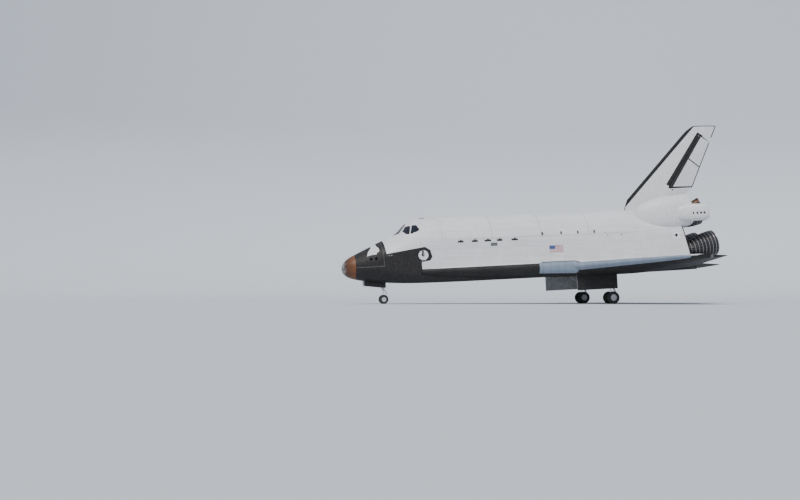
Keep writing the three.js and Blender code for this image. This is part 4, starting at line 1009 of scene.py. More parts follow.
# Cargo bay inside
# Thirteen frames ring the trough below the sills, with longerons, a keel rail and cable trays between them.
# They are riveted aluminium, painted, with quilted liner in the bays between frames.
FRAMES = 13
FRAME_WIDTH = 0.11
RIB_IN = BAY_RADIUS - 0.12
RIB_OUT = BAY_RADIUS - 0.001
RIB_TOP = 0.29
frame_pitch = BAY_LENGTH / FRAMES
first_frame = BAY_FRONT + frame_pitch / 2
rib_line = [(-RIB_OUT, RIB_TOP)] + arc(RIB_OUT, 0, 180, 360, 60) + [(RIB_OUT, RIB_TOP)]
rib_line += [(RIB_IN, RIB_TOP)] + arc(RIB_IN, 0, 360, 180, 60) + [(-RIB_IN, RIB_TOP)]
rib_x = (first_frame - FRAME_WIDTH / 2, first_frame + FRAME_WIDTH / 2)
rib = soften(prism("rib", rib_line, "x", *rib_x), 0.008, 1)
frame_paint = coat("frame paint", (0.58, 0.60, 0.44), 0.5)
place(repeated("bay_frames", rib, frame_paint, FRAMES, step=(frame_pitch, 0, 0)), "airframe")
rail_look = metal("rail metal", (0.62, 0.62, 0.60), 0.4)
rail_x = (BAY_FRONT + 0.1, BAY_BACK - 0.1)
rails = []
for side in (-1, 1):
    for low, high, depth in ((0.300, 0.420, 0.06), (0.060, 0.100, 0.035), (-0.60, -0.52, 0.05)):
        face = BAY_RADIUS if low > 0 else math.sqrt(BAY_RADIUS**2 - low**2)
        spans = sorted((side * (face - depth), side * (face + 0.005)))
        rails.append(block("rail", rail_x, spans, (low, high), rail_look, 0.006, 1))
keel_x = (BAY_FRONT + 0.5, rail_x[1])
rails.append(block("keel", keel_x, (-0.16, 0.16), (-2.335, -2.250), rail_look, 0.01, 1))
place(merged("bay_rails", rails), "airframe")
tray = soften(box_of("tray", (9.0, 9.5), (-1.02, -0.86), (-2.16, -2.10)), 0.01, 1)
tray_white = coat("tray white", (0.72, 0.72, 0.70), 0.5)
place(repeated("cable_trays", tray, tray_white, 30, step=(0.6, 0, 0)), "airframe")
WALL_X = BAY_BACK - 0.012
WALL_Z = 0.03
cloth_ends = [(x, 0, WALL_Z) for x in (WALL_X, BAY_BACK + 0.004)]
wall = [rod("cloth", *cloth_ends, BAY_RADIUS - 0.02, bay_liner, steps=120)]


def wall_reach(off):
    """Half the length of a post or beam at a distance from the wall's middle."""
    return math.sqrt((BAY_RADIUS - 0.05) ** 2 - off * off)


for step in range(-3, 4):
    y = step * 0.62
    spans = (y - 0.035, y + 0.035), (WALL_Z - wall_reach(y), WALL_Z + wall_reach(y))
    wall.append(block("post", (WALL_X - 0.09, WALL_X + 0.004), *spans, rail_look, 0.008, 1))
for z in (-1.15, -0.15, 0.85):
    reach = wall_reach(z - WALL_Z)
    beam_x = (WALL_X - 0.12, WALL_X + 0.004)
    wall.append(block("beam", beam_x, (-reach, reach), (z - 0.05, z + 0.05), rail_look, 0.008, 1))
place(merged("aft_bulkhead_frame", wall), "airframe")

# Vents, plates and flag
# Thin things on the flank: vent doors, a hold-down plate, small ports, pale seam strips and a painted flag.
# Each is a skin of a few millimetres that follows the side of the hull.
DECAL_THICK = 0.006
DECAL_CELL = 0.12
seam_pale = coat("seam pale", (0.24, 0.235, 0.24), 0.6)
mark_grey = coat("mark grey", (0.12, 0.125, 0.135), 0.6)
flag_red = coat("flag red", (0.42, 0.05, 0.06), 0.65)
flag_white = coat("flag white", (0.80, 0.80, 0.82), 0.65)
flag_blue = coat("flag blue", (0.06, 0.10, 0.26), 0.65)
patch_white = coat("patch white", (0.86, 0.86, 0.88), 0.55)


def flank(x, z):
    """How far out the skin is at x, z on the body's side, found along the section."""
    half = [(z0, y0) for y0, z0 in hull_half(x) if y0 > 1.0]
    for (z0, y0), (z1, y1) in zip(half, half[1:]):
        if min(z0, z1) <= z <= max(z0, z1) and z0 != z1:
            return y0 + (y1 - y0) * (z - z0) / (z1 - z0)
    return hull_at(x)[0]


def decal(points, look, lift, side):
    """A thin plate outlined as [x, z], cut into cells so that it can follow the flank's curve."""
    bm = bmesh.new()
    bm.faces.new([bm.verts.new((x, 0, z)) for x, z in points])
    for along, axis in ((0, (1, 0, 0)), (2, (0, 0, 1))):
        places = [point[along // 2] for point in points]
        low, high = min(places), max(places)
        count = int((high - low) / DECAL_CELL)
        for i in range(1, count + 1):
            spot = [0, 0, 0]
            spot[along] = low + (high - low) * i / (count + 1)
            everything = bm.verts[:] + bm.edges[:] + bm.faces[:]
            bmesh.ops.bisect_plane(bm, geom=everything, plane_co=spot, plane_no=axis, dist=1e-5)
    grown = bmesh.ops.extrude_face_region(bm, geom=bm.faces[:])
    raised = {item for item in grown["geom"] if isinstance(item, bmesh.types.BMVert)}
    for vert in bm.verts:
        vert.co.y = side * (flank(vert.co.x, vert.co.z) + (lift if vert in raised else -0.004))
    bmesh.ops.recalc_face_normals(bm, faces=bm.faces)
    return dressed(from_bmesh("plate", bm), look)


VENTS = [(10.414, 0.52), (11.709, 0.55), (12.903, 0.62), (13.995, 0.50), (15.392, 0.60)]  # x and width
for side, name in ((-1, "left"), (1, "right")):
    shapes = [
        (rect(13.462, -0.076, 0.62, 0.30), mark_grey, DECAL_THICK),
        (disc(24.257, 0.30, 0.055), port_dark, DECAL_THICK),
        (disc(25.578, 0.30, 0.055), port_dark, DECAL_THICK),
        (rect(30.93, 0.025, 0.72, 0.56), patch_white, 0.003),
        (disc(30.861, 0.025, 0.15), port_dark, DECAL_THICK),
        (disc(31.22, 0.025, 0.04), port_dark, DECAL_THICK),
        (rect(2.42, -1.560, 2.44, 0.018), seam_pale, 0.003),
        (rect(4.041, -0.645, 0.10, 0.09), seam_pale, 0.004),
        (rect(4.248, -0.645, 0.10, 0.09), seam_pale, 0.004),
    ]
    vents = [(rect(x, 0.28, width, 0.17), port_dark, DECAL_THICK) for x, width in VENTS]
    knobs = [(rect(x + 0.02, 0.40, 0.16, 0.10), port_dark, 0.0065) for x, _ in VENTS]
    pairs = [shape for pair in zip(vents, knobs) for shape in pair]
    plates = [decal(*shape, side) for shape in pairs + shapes]
    place(merged(f"flank_plates_{name}", plates), "airframe")


SEAM_LIFT = 0.003


def hull_hoop(name, low, foot_x, lean, width):
    """A thin strip over the crown, leaning forward as it rises from the same height on each flank."""
    spots = []
    for i, (_, z) in enumerate(hull_half(foot_x)):
        if z >= low:
            x = foot_x - lean * (z - low)
            spots.append(Vector((x, *hull_half(x)[i])))
    spots = [Vector((p.x, -p.y, p.z)) for p in reversed(spots[1:])] + spots
    half = width / 2
    signs = ((-1, -1), (1, -1), (1, 1), (-1, 1), (-1, -1))
    corners = [(side * half, up * SEAM_LIFT) for side, up in signs]
    rings = []
    for i, spot in enumerate(spots):
        out = Vector((1, 0, 0)).cross(spots[min(i + 1, len(spots) - 1)] - spots[max(i - 1, 0)]).normalized()
        rings.append([tuple(spot + Vector((along, 0, 0)) + out * up) for along, up in corners])
    return skinned(name, rings)


place(dressed(hull_hoop("nose_seam_hoop", -1.550, 3.607, 0.05, 0.014), seam_pale), "airframe")
FLAG_X = (18.59, 19.91)
FLAG_Z = (-1.04, -0.41)
STRIPES = 13
CANTON_SHARE = 0.42
stripe = (FLAG_Z[1] - FLAG_Z[0]) / STRIPES
flag_length = FLAG_X[1] - FLAG_X[0]
canton = flag_length * CANTON_SHARE
flag = []
for i in range(STRIPES):
    middle_z = FLAG_Z[0] + i * stripe + stripe / 2
    outline = rect(sum(FLAG_X) / 2, middle_z, flag_length, stripe)
    flag.append(decal(outline, (flag_red, flag_white)[i % 2], 0.002, -1))
canton_rect = rect(FLAG_X[0] + canton / 2, FLAG_Z[1] - 3.5 * stripe, canton, 7 * stripe)
place(merged("painted_flag", flag + [decal(canton_rect, flag_blue, 0.0035, -1)]), "airframe")

# Cargo bay doors
# Two long curved doors meet over the bay, each hinged along its sill, quilted outside.
# Inside each one carries silver radiator panels with coolant pipes along them.
DOOR_THICK = 0.150
DOOR_GAP = 0.012
CROWN_RADIUS = 2.640
CROWN_Z = 0.078
radiator = Finish("radiator", 0.22, 0.9)
_, pipes = radiator.bricks(radiator.place(), 4.4, 0.05, 0.006)
radiator.colour(radiator.mix(pipes, (0.74, 0.76, 0.78), (0.40, 0.41, 0.43)))
radiator.bump(pipes, 0.003, 0.5)
seam_look = coat("seam dark", (0.16, 0.16, 0.17), 0.7)
door_low = math.degrees(math.asin((SILL_Z + DOOR_GAP - CROWN_Z) / CROWN_RADIUS))
door_high = 90 - math.degrees(DOOR_GAP / CROWN_RADIUS)
DOOR_SEAMS = [BAY_FRONT + BAY_LENGTH * share for share in (0.25, 0.5, 0.75)]
DOOR_SLOTS = (18.034, 19.812, 21.412, 22.987)
SEAM_HALF = 0.012


def door_shell(name, outside, inside, start, end, low, high, spacing):
    """A port-side arc of shell between two radii, from one x to another."""
    outer = arc(outside, CROWN_Z, low, high, 48)
    inner = arc(inside, CROWN_Z, high, low, 48)
    section = [(-y, z) for y, z in outer + inner + outer[:1]]
    count = max(int((end - start) / spacing), 1)
    return skinned(name, [[(x, y, z) for y, z in section] for x in evenly(start, end, count)])


def bay_door(name):
    inside = CROWN_RADIUS - DOOR_THICK
    shell = door_shell("shell", CROWN_RADIUS, inside, BAY_FRONT + DOOR_GAP, BAY_BACK - DOOR_GAP, door_low,
                       door_high, 0.5)
    carve(shell, box_of("tool", (BAY_FRONT, BAY_BACK), (-3, 0), (0, SILL_Z + DOOR_GAP)))
    for seam in DOOR_SEAMS:
        for edge in (seam - SEAM_HALF, seam + SEAM_HALF):
            score(shell, [(edge, 0), (edge, 4)])

    def colour(middle, _):
        if math.hypot(middle.y, middle.z - CROWN_Z) < CROWN_RADIUS - 0.02:
            return 1
        return 2 if any(abs(middle.x - seam) < SEAM_HALF for seam in DOOR_SEAMS) else 0

    paint(wear(shell, white_blanket, bay_liner, seam_look), colour)
    parts = [shell]
    span = BAY_LENGTH / 4
    for i in range(4):
        start = BAY_FRONT + span * i + 0.12
        plate = door_shell("plate", inside + 0.01, inside - 0.022, start, start + span - 0.24, door_low + 8,
                           door_high - 6, 1.2)
        parts.append(dressed(plate, radiator.material))
    for angle in (door_low + 6, door_high - 4):
        y, z = arc(inside - 0.02, CROWN_Z, angle, angle, 1)[0]
        parts.append(rod("pipe", *((x, -y, z) for x in rail_x), 0.018, bare_metal, steps=12))
    parts.append(lugs("lugs", DOOR_HINGE, door_hinge_x, DOOR_ARM, False))
    for x in DOOR_SLOTS:
        slot = door_shell("slot", CROWN_RADIUS + 0.005, CROWN_RADIUS - 0.01, x - 0.075, x + 0.075,
                          door_low + 1, door_low + 7, 1)
        parts.append(dressed(slot, port_dark))
    return merged(name, parts)


def place_pair(port, node, slot, body=None, twin=None):
    """Sets down a port piece and its starboard twin, on one body or each on its own."""
    other = mirror_y(port, twin or f"{node}_right_piece")
    for piece, side in ((port, "left"), (other, "right")):
        place(piece, body or f"{node}_{side}", f"{node}_{side}", slot=slot)


place_pair(bay_door("bay_door_left_piece"), "bay_door", "white_skin")

# Aft fuselage
# The thrust structure's shell, closed behind by a sloping base with a heat-shield collar for each engine.
# Its belly runs on into a heel that holds the body flap's hinges. The base is black-tiled.
BASE_LEAN = 0.24
BASE_EDGE = 0.100  # the dark strip round the base
FLAP_HINGE = (32.918, -2.880)
FLAP_HALF_WIDTH = 2.860
FLAP_RADIUS = 0.235
FLAP_LUGS = {"y": 1.900, "width": 0.160, "eye": 0.150, "pin_length": 0.060}
HEEL = [(31.5, -3.19), (32.7, -3.19), (32.7, -2.64), (31.5, -2.5)]  # [x, z]
PIN = 0.018
PIN_BORE = 0.0188
ENGINES = {
    # gimbal point, pitch up and outboard yaw in degrees
    "engine_top": ((30.709, 0, 1.150), 16, 0),
    "engine_left": ((31.298, -1.346, -1.457), 10, -3.5),
    "engine_right": ((31.298, 1.346, -1.457), 10, 3.5),
}
ENGINE_LENGTH = 3.988
GIMBAL_EYE, GIMBAL_POST = 0.130, 0.090
EAR_IN, EAR_OUT, EAR_FACE = 0.096, 0.190, 0.190
SOCKET_RADIUS = 1.27


def base_x(z):
    return 32.450 - BASE_LEAN * (z + 2.800)


def thrust_axis(pitch, yaw):
    up, out = math.radians(pitch), math.radians(yaw)
    return Vector((math.cos(up) * math.cos(out), math.sin(out), math.sin(up) * math.cos(out)))


def engine_place(gimbal, pitch, yaw):
    """Where an engine is, with its thrust line along x."""
    turn = Vector((1, 0, 0)).rotation_difference(thrust_axis(pitch, yaw))
    return Matrix.LocRotScale(Vector(gimbal), turn, None)


def moved(part, matrix):
    part.data.transform(matrix)
    return part


base_tile = tiles("base tiles", BLACK_TILE, (0.035, 0.034, 0.034), (0.075, 0.070, 0.066), (0.02, 0.02, 0.02),
                  0.7, worn=0.5)
aft = wear(hull_body("aft_fuselage_shell", BAY_BACK, 32.9, spacing=0.3), white_blanket, black_tile, base_tile)
carve(aft, prism("tool", [(base_x(-4), -4), (38, -4), (38, 4), (base_x(4), 4)], "y", -4, 4), look=2)
carve(aft, prism("tool", HEEL, "y", -FLAP_HALF_WIDTH, FLAP_HALF_WIDTH), "UNION", look=1)
ball = [(-SOCKET_RADIUS * math.cos(t), SOCKET_RADIUS * math.sin(t)) for t in evenly(0, math.pi, 32)]
for spot in ENGINES.values():
    where = engine_place(*spot)
    collar = moved(bar("tool", (0.5, 0, 0), (1.08, 0, 0), 1.33, 0.76, 72), where)
    carve(collar, box_of("cut", (20, 29.9), (-5, 5), (-5, 5)))
    carve(aft, collar, "UNION", look=2)
    carve(aft, moved(turned("tool", (0, 0, 0), (1, 0, 0), ball, 64), where), look=2)
flap_x, flap_z = FLAP_HINGE
carve(aft, bar("tool", (flap_x, -3, flap_z), (flap_x, 3, flap_z), FLAP_RADIUS + 0.025, steps=64), look=1)
score(aft, [(BAY_BACK, WING_LINE), (32.9, WING_LINE)])
score(aft, [(base_x(4) - BASE_EDGE, 4), (base_x(-4) - BASE_EDGE, -4)])
paint(aft, lambda middle, _: 1 if middle.z < WING_LINE or middle.x > base_x(middle.z) - BASE_EDGE else 0)
place(aft, "airframe", "aft_fuselage", slot="white_skin")
posts = []
for spot in ENGINES.values():
    where = engine_place(*spot)
    arm = [(0, -GIMBAL_EYE), (0, GIMBAL_EYE), (-1.33, 0.22), (-1.33, -0.22)]
    made = [
        prism("arm", arm, "y", -GIMBAL_POST, GIMBAL_POST),
        bar("knuckle", (0, -GIMBAL_POST, 0), (0, GIMBAL_POST, 0), GIMBAL_EYE, steps=40),
        bar("shaft", (0, -EAR_OUT, 0), (0, EAR_OUT, 0), PIN),
    ]
    posts += [dressed(moved(part, where), bare_metal) for part in made]
eye, reach = FLAP_LUGS["eye"], FLAP_LUGS["pin_length"]
arm_x = flap_x - 0.4
flap_arm = [(flap_x, flap_z - eye), (flap_x, flap_z + eye), (arm_x, flap_z + 0.18), (arm_x, flap_z - 0.25)]
for y in (-FLAP_LUGS["y"], FLAP_LUGS["y"]):
    low, high = y - FLAP_LUGS["width"] / 2, y + FLAP_LUGS["width"] / 2
    posts.append(dressed(prism("arm", flap_arm, "y", low, high), dark_metal))
    posts.append(rod("eye", (flap_x, low, flap_z), (flap_x, high, flap_z), eye, dark_metal, steps=40))
    posts.append(rod("pin", (flap_x, low - reach, flap_z), (flap_x, high + reach, flap_z), PIN, bare_metal))
place(merged("gimbal_posts_and_flap_lugs", posts), "airframe")

# Vertical fin
# A thin wedge-sectioned fin, swept at forty-five degrees, thickest at the rudder's hinge line.
# White tiles, with black ones along its leading edge, its tip and the cove that the rudder turns in.
FIN_ROOT_Z = 2.616
FIN_ROOT_X = 26.462
FIN_HEIGHT = 8.019
FIN_CHORDS = (6.820, 2.755)  # at its root and its tip
FIN_PEAK = 0.6
FIN_HALF_THICK = 0.0525
FIN_OUTLINE = [
    (27.200, 2.560), (27.285, 3.010), (27.560, 3.714), (33.650, 9.804), (34.060, 10.170), (34.500, 10.470),
    (34.800, 10.635), (37.080, 10.635), (37.240, 10.560), (37.240, 10.400), (34.265, 4.480), (32.420, 3.640),
    (31.200, 2.560),
]
RUDDER_Z = (4.597, 9.703)
COVE_SHARE = 1.25
PANEL_SHARE = 0.97
SHAFT_SHARE = 0.25
FIN_NOSE = 0.045


def fin_lead(z):
    return FIN_ROOT_X + (z - FIN_ROOT_Z)


def fin_chord(z):
    return FIN_CHORDS[0] + (FIN_CHORDS[1] - FIN_CHORDS[0]) * (z - FIN_ROOT_Z) / FIN_HEIGHT


def fin_hinge(z):
    return Vector((fin_lead(z) + FIN_PEAK * fin_chord(z), 0, z))


def fin_half(z):
    return FIN_HALF_THICK * fin_chord(z)


fin_sweep = math.atan(fin_hinge(1).x - fin_hinge(0).x)


def fin_trail(z):
    return fin_lead(z) + fin_chord(z)


def fin_wedge(name, share=1.0):
    rings = []
    for up in evenly(0, FIN_HEIGHT + 0.25, 34):
        z = FIN_ROOT_Z - 0.2 + up
        peak, trail, half = fin_hinge(z).x, fin_trail(z), fin_half(z) * share
        front = fin_lead(z) - 0.02 + FIN_NOSE
        nose = evenly(math.pi / 2, math.pi * 1.5, 12)
        ring = [(front + FIN_NOSE * math.cos(a), FIN_NOSE * math.sin(a), z) for a in nose]
        port = [(x, y, z) for x, y in zip(evenly(front, peak, 8), evenly(-FIN_NOSE, -half, 8))][1:]
        port += [(x, y, z) for x, y in zip(evenly(peak, trail, 6), evenly(-half, -0.015, 6))][1:]
        whole = ring + port + [(x, -y, height) for x, y, height in reversed(port)]
        rings.append(whole + whole[:1])
    return skinned(name, rings)


def aft_of_hinge(name, low, high):
    """The side view of what the rudder fills: level below, and square to the hinge line above."""
    foot, head = fin_hinge(low), fin_hinge(high)
    reach = 4.0
    back = (head.x + reach * math.cos(fin_sweep), high - reach * math.sin(fin_sweep))
    return prism(name, [(foot.x, low), (foot.x + reach, low), back, (head.x, high)], "y", -1.5, 1.5)


def hinge_cone(name, low, high, share, steps=64, extra=0.0):
    wide, narrow = fin_half(low) * share + extra, fin_half(high) * share + extra
    return bar(name, fin_hinge(low), fin_hinge(high), wide, narrow, steps)


def mapped(part, side):
    """Lays out a flat piece's UV map in metres, along x and its other long side, but not on its edges."""
    lay = part.data.uv_layers.get("UVMap") or part.data.uv_layers.new(name="UVMap")
    for face in part.data.polygons:
        if abs(face.normal[3 - side]) > 0.3:
            for corner, vertex in zip(face.loop_indices, face.vertices):
                spot = part.data.vertices[vertex].co
                lay.data[corner].uv = (spot.x, spot[side] + 20)
    return part


cove_z = (RUDDER_Z[0] - 0.03, RUDDER_Z[1] + 0.03)
fin = wear(fin_wedge("fin_shell"), white_tile, black_tile)
carve(fin, prism("tool", FIN_OUTLINE, "y", -1.5, 1.5), "INTERSECT", look=1)
carve(fin, aft_of_hinge("tool", *RUDDER_Z), look=1)
carve(fin, hinge_cone("tool", *cove_z, COVE_SHARE), look=1)
LEAD_BAND = 0.44
HINGE_BAND = 0.60
TIP_BAND_Z = 10.56
TRAIL_BAND = 0.11
score(fin, [(fin_lead(2.0) + LEAD_BAND, 2.0), (fin_lead(10.9) + LEAD_BAND, 10.9)])
score(fin, [(26, TIP_BAND_Z), (38, TIP_BAND_Z)])


def along_trail(ends):
    """The line that the dark band along the trailing edge starts at, between two heights."""
    return [(fin_trail(z) - TRAIL_BAND, z) for z in ends]


score(fin, along_trail((9.6, 10.7)))


def band_front(z):
    """Where the black band ahead of the rudder's hinge starts; it narrows a little towards the tip."""
    return fin_hinge(z).x - HINGE_BAND / math.cos(fin_sweep) * (0.75 + 0.25 * (10 - z) / 5.4)


score(fin, [(band_front(z), z) for z in (3.9, 10.4)])
BAND_ENDS = (RUDDER_Z[0] + 0.10, RUDDER_Z[1] + 0.06)
square_x, square_z = math.cos(fin_sweep), -math.sin(fin_sweep)
for z in BAND_ENDS:
    ends = [(fin_hinge(z).x + reach * square_x, z + reach * square_z) for reach in (-1.2, 0.2)]
    score(fin, ends)


def fin_colour(middle, _):
    x, _, z = middle
    if x < fin_lead(z) + LEAD_BAND or z > TIP_BAND_Z or (z > 9 and x > fin_trail(z) - TRAIL_BAND):
        return 1
    along = z + (x - fin_hinge(z).x) * math.sin(fin_sweep) * math.cos(fin_sweep)
    return 1 if x > band_front(z) and BAND_ENDS[0] < along < BAND_ENDS[1] and x < fin_hinge(z).x + 0.25 else 0


paint(fin, fin_colour)
place(mapped(fin, 2), "airframe", "vertical_fin", slot="white_skin")

# Rudder
# A shaft in the fin's cove turns to steer, and two panels on it spread apart as a speed brake.
# The panels are white, with dark seals at the nose, along each trailing edge and across their middle.
shaft = dressed(hinge_cone("shaft", cove_z[0] + SEAT_GAP, cove_z[1] - SEAT_GAP, SHAFT_SHARE, 96), dark_metal)
place(shaft, "rudder_shaft", "rudder_shaft", slot="gear_paint")
SPLIT_GAP = 0.012
RUDDER_END_GAP = 0.090
NOSE_SECTOR = math.radians(38)
low, high = RUDDER_Z[0] + RUDDER_END_GAP, RUDDER_Z[1] - RUDDER_END_GAP
seal_black = coat("seal black", (0.012, 0.012, 0.014), 0.7)
panel = wear(fin_wedge("rudder_panel", PANEL_SHARE), white_tile, seal_black)
carve(panel, aft_of_hinge("tool", low, high), "INTERSECT", look=1)
carve(panel, box_of("tool", (20, 40), (-2, -SPLIT_GAP / 2), (2, 12)), "INTERSECT", look=1)
square_to_hinge = Vector((square_x, 0, square_z))
nose_rings = []
for z in (low, high):
    radius = fin_half(z) * PANEL_SHARE
    section = [(0.05, -SPLIT_GAP / 2), (0.05, -radius * 0.98)]
    section += [(-radius * math.sin(a), -radius * math.cos(a)) for a in evenly(0, NOSE_SECTOR, 12)]
    section.append((-SPLIT_GAP / 2 * math.tan(NOSE_SECTOR), -SPLIT_GAP / 2))
    ring = [tuple(fin_hinge(z) + square_to_hinge * u + Vector((0, y, 0))) for u, y in section]
    nose_rings.append(ring + ring[:1])
rudder_nose = skinned("rudder_nose", nose_rings)
for part, look in ((panel, 1), (rudder_nose, 0)):
    carve(part, hinge_cone("tool", low - 0.3, high + 0.3, SHAFT_SHARE, extra=0.0015), look=look)
panel = merged("rudder_panel", [panel, dressed(rudder_nose, seal_black)])
NOSE_BAND = 0.12
SPLIT_BAND = 0.055  # half the width of the dark line across the panel
score(panel, along_trail((4, 10)))
score(panel, [(fin_hinge(z).x + NOSE_BAND, z) for z in (4, 10.5)])
middle_z = (low + high) / 2 + 0.35
split_foot = fin_hinge(middle_z)
for shift in (-SPLIT_BAND, SPLIT_BAND):
    start_x, start_z = split_foot.x + shift * math.sin(fin_sweep), middle_z + shift * math.cos(fin_sweep)
    score(panel, [(start_x + reach * square_x, start_z + reach * square_z) for reach in (-0.5, 4)])
score(panel, [(fin_hinge(low).x + reach, low + NOSE_BAND) for reach in (-1, 5)])


def rudder_colour(middle, _):
    x, _, z = middle
    off = (x - split_foot.x) * math.sin(fin_sweep) + (z - middle_z) * math.cos(fin_sweep)
    edge = x < fin_hinge(z).x + NOSE_BAND or x > fin_trail(z) - TRAIL_BAND or z < low + NOSE_BAND
    return 1 if edge or abs(off) < SPLIT_BAND else 0


paint(panel, rudder_colour)
place_pair(panel, "rudder", "white_skin", twin="rudder_right_panel")

# Wings
# A double-delta wing on each side, lofted from its root to its tip, white above and black below.
# Ribs at the elevons' ends stand out behind the cove, and a well opens in the root for the main wheels.
HINGE_X = 29.235
HINGE_RISE = 0.0771
ELEVONS = {"inboard": (3.060, 7.800), "outboard": (7.960, 11.780)}
ELEVON_RIBS = [(2.900, 3.040), (7.820, 7.940), (11.800, 11.890)]
WING = [
    # y, leading edge x and z, upper and lower bump
    (1.500, 6.706, -2.235, 0.500, 0.490),
    (2.667, 6.706, -2.235, 0.500, 0.490),
    (4.775, 20.015, -2.388, 0.533, 0.660),
    (11.000, 26.240, -2.159, 0.170, 0.214),
    (11.700, 27.150, -2.130, 0.125, 0.150),
    (11.896, 27.950, -2.110, 0.070, 0.085),
]
EDGE_PLAN = [(17.016, 4.046), (20.218, 4.554), (27.980, 12.316)]  # [x, y] of the edge panels' inner ends
MAIN_WELL = {"x": (20.422, 24.257), "y": (2.800, 4.110), "top": -2.310}
WING_CHORD_STEPS = 40
RIB_DROP = 0.08
RIB_INSET = 0.012


def hinge_z(y):
    return -2.936 + HINGE_RISE * (y - 2.667)


def hinge_half(y):
    return 0.290 + (0.140 - 0.290) * (y - 2.667) / (11.896 - 2.667)


def bulge(share):
    """A curve that starts round and peaks at one at a third of its length."""
    return 2.598 * math.sqrt(share) * (1 - share)


def wing_row(y):
    for first, last in zip(WING, WING[1:]):
        if y <= last[0] or last is WING[-1]:
            share = (y - first[0]) / (last[0] - first[0])
            return [a + (b - a) * share for a, b in zip(first[1:], last[1:])]
    return WING[-1][1:]


def wing_ring(y):
    lead_x, lead_z, upper, lower = wing_row(y)
    shares = [(i / WING_CHORD_STEPS) ** 2 for i in range(WING_CHORD_STEPS + 1)]

    def surface(side, bump):
        points = []
        for share in shares:
            end = hinge_z(y) + side * hinge_half(y)
            z = lead_z + (end - lead_z) * share + side * bump * bulge(share)
            points.append((lead_x + (HINGE_X - lead_x) * share, -y, z))
        return points

    ring = list(reversed(surface(1, upper))) + surface(-1, lower)[1:]
    return ring + ring[:1]


def hinge_point(y):
    return (HINGE_X, -y, hinge_z(y))


def hinge_section(y, radius, nose_front, tail):
    """A section square to the elevons' hinge line: a round nose, then the points that close it."""
    angles = evenly(math.pi / 2, math.pi * 1.5 if nose_front else -math.pi / 2, 20)
    points = [(radius * math.cos(a), radius * math.sin(a)) for a in angles] + tail
    ring = [(HINGE_X + x, -y + z * HINGE_RISE, hinge_z(y) + z) for x, z in points]
    return ring + ring[:1]


stations = [1.5, 2.0] + evenly(2.667, 4.775, 16) + evenly(4.775, 11.0, 20)[1:] + evenly(11.0, 11.7, 4)[1:]
stations += [11.75, 11.80, 11.85, 11.896]
seal_metal = metal("cove seal metal", (0.26, 0.255, 0.25), 0.42, 4.0)
wing = skinned("wing_plate", [wing_ring(y) for y in stations])
wear(wing, white_tile, black_tile, seal_metal, well_lining)
carve(wing, hull_body("tool", 5.0, 32.8, 0.05, spacing=0.4))
carve(wing, box_of("tool", (BAY_FRONT, 40), (-CROWN_RADIUS - SEAT_GAP, 0), (-5, 0)))
cove_y = (2.367, 12.196)
inner_cove, outer_cove = (hinge_half(y) + 0.015 for y in cove_y)
carve(wing, bar("tool", hinge_point(cove_y[0]), hinge_point(cove_y[1]), inner_cove, outer_cove, 64), look=2)
for ends in ELEVON_RIBS:
    rings = []
    for y in ends:
        half = hinge_half(y)
        back = [(-half - RIB_DROP, RIB_INSET - half), (-half - RIB_DROP, half - RIB_INSET)]
        rings.append(hinge_section(y, half - RIB_INSET, False, back))
    carve(wing, skinned("tool", rings), "UNION", look=2)
well_y = (-MAIN_WELL["y"][1], -MAIN_WELL["y"][0])
carve(wing, box_of("tool", MAIN_WELL["x"], well_y, (-3.8, MAIN_WELL["top"])), look=3)
EDGE_STRIP = 0.30


def edge_line(inward):
    """The edge panels' inner ends seen from above, drawn in from the wing's edge, as [x, y] to port."""
    slopes = [(1, 1.17), (-0.48, 0.94), (-0.71, 0.71)]
    return [(x + dx * inward, -y + dy * inward) for (x, y), (dx, dy) in zip(EDGE_PLAN, slopes)]


def edge_region(name, inward):
    plan = edge_line(inward)
    return prism(name, plan + [(plan[2][0], -13), (plan[0][0], -13)], "z", -4.2, -0.8)


edge_panels = copy_of(wing, "edge_panels")
carve(wing, edge_region("tool", 0.003))
carve(edge_panels, edge_region("tool", 0), "INTERSECT")
score(wing, edge_line(EDGE_STRIP), from_above=True)
strip_start = edge_line(EDGE_STRIP)[0][0]
score(wing, [(strip_start, -3.4), (strip_start, -4.8)], from_above=True)
score(wing, [(WING[1][1], BELLY_LINE), (EDGE_PLAN[0][0], BELLY_LINE)])
COVE_STRIP = 0.42
score(wing, [(HINGE_X - COVE_STRIP, -2.0), (HINGE_X - COVE_STRIP, -12.5)], from_above=True)
pins = []
for i, (inner, outer) in enumerate(ELEVON_RIBS):
    start = inner + 0.02 if i == 0 else inner - 0.1
    end = outer - 0.02 if i == len(ELEVON_RIBS) - 1 else outer + 0.1
    pins.append(rod("pin", hinge_point(start), hinge_point(end), PIN, bare_metal))


def strip_inner(middle):
    """Whether a place on the wing is within the black strip behind its leading edge."""
    line = edge_line(EDGE_STRIP)
    for (x0, y0), (x1, y1) in zip(line, line[1:]):
        if min(x0, x1) <= middle.x <= max(x0, x1):
            return middle.y < y0 + (y1 - y0) * (middle.x - x0) / (x1 - x0)
    return middle.x > line[-1][0] and middle.y < line[-1][1]


def wing_colour(middle, normal):
    if normal.z < 0.3:
        return 1
    if middle.x > HINGE_X - COVE_STRIP:
        return 2
    if middle.x < EDGE_PLAN[0][0]:
        return 1 if middle.z < BELLY_LINE else 0
    return 1 if strip_inner(middle) else 0


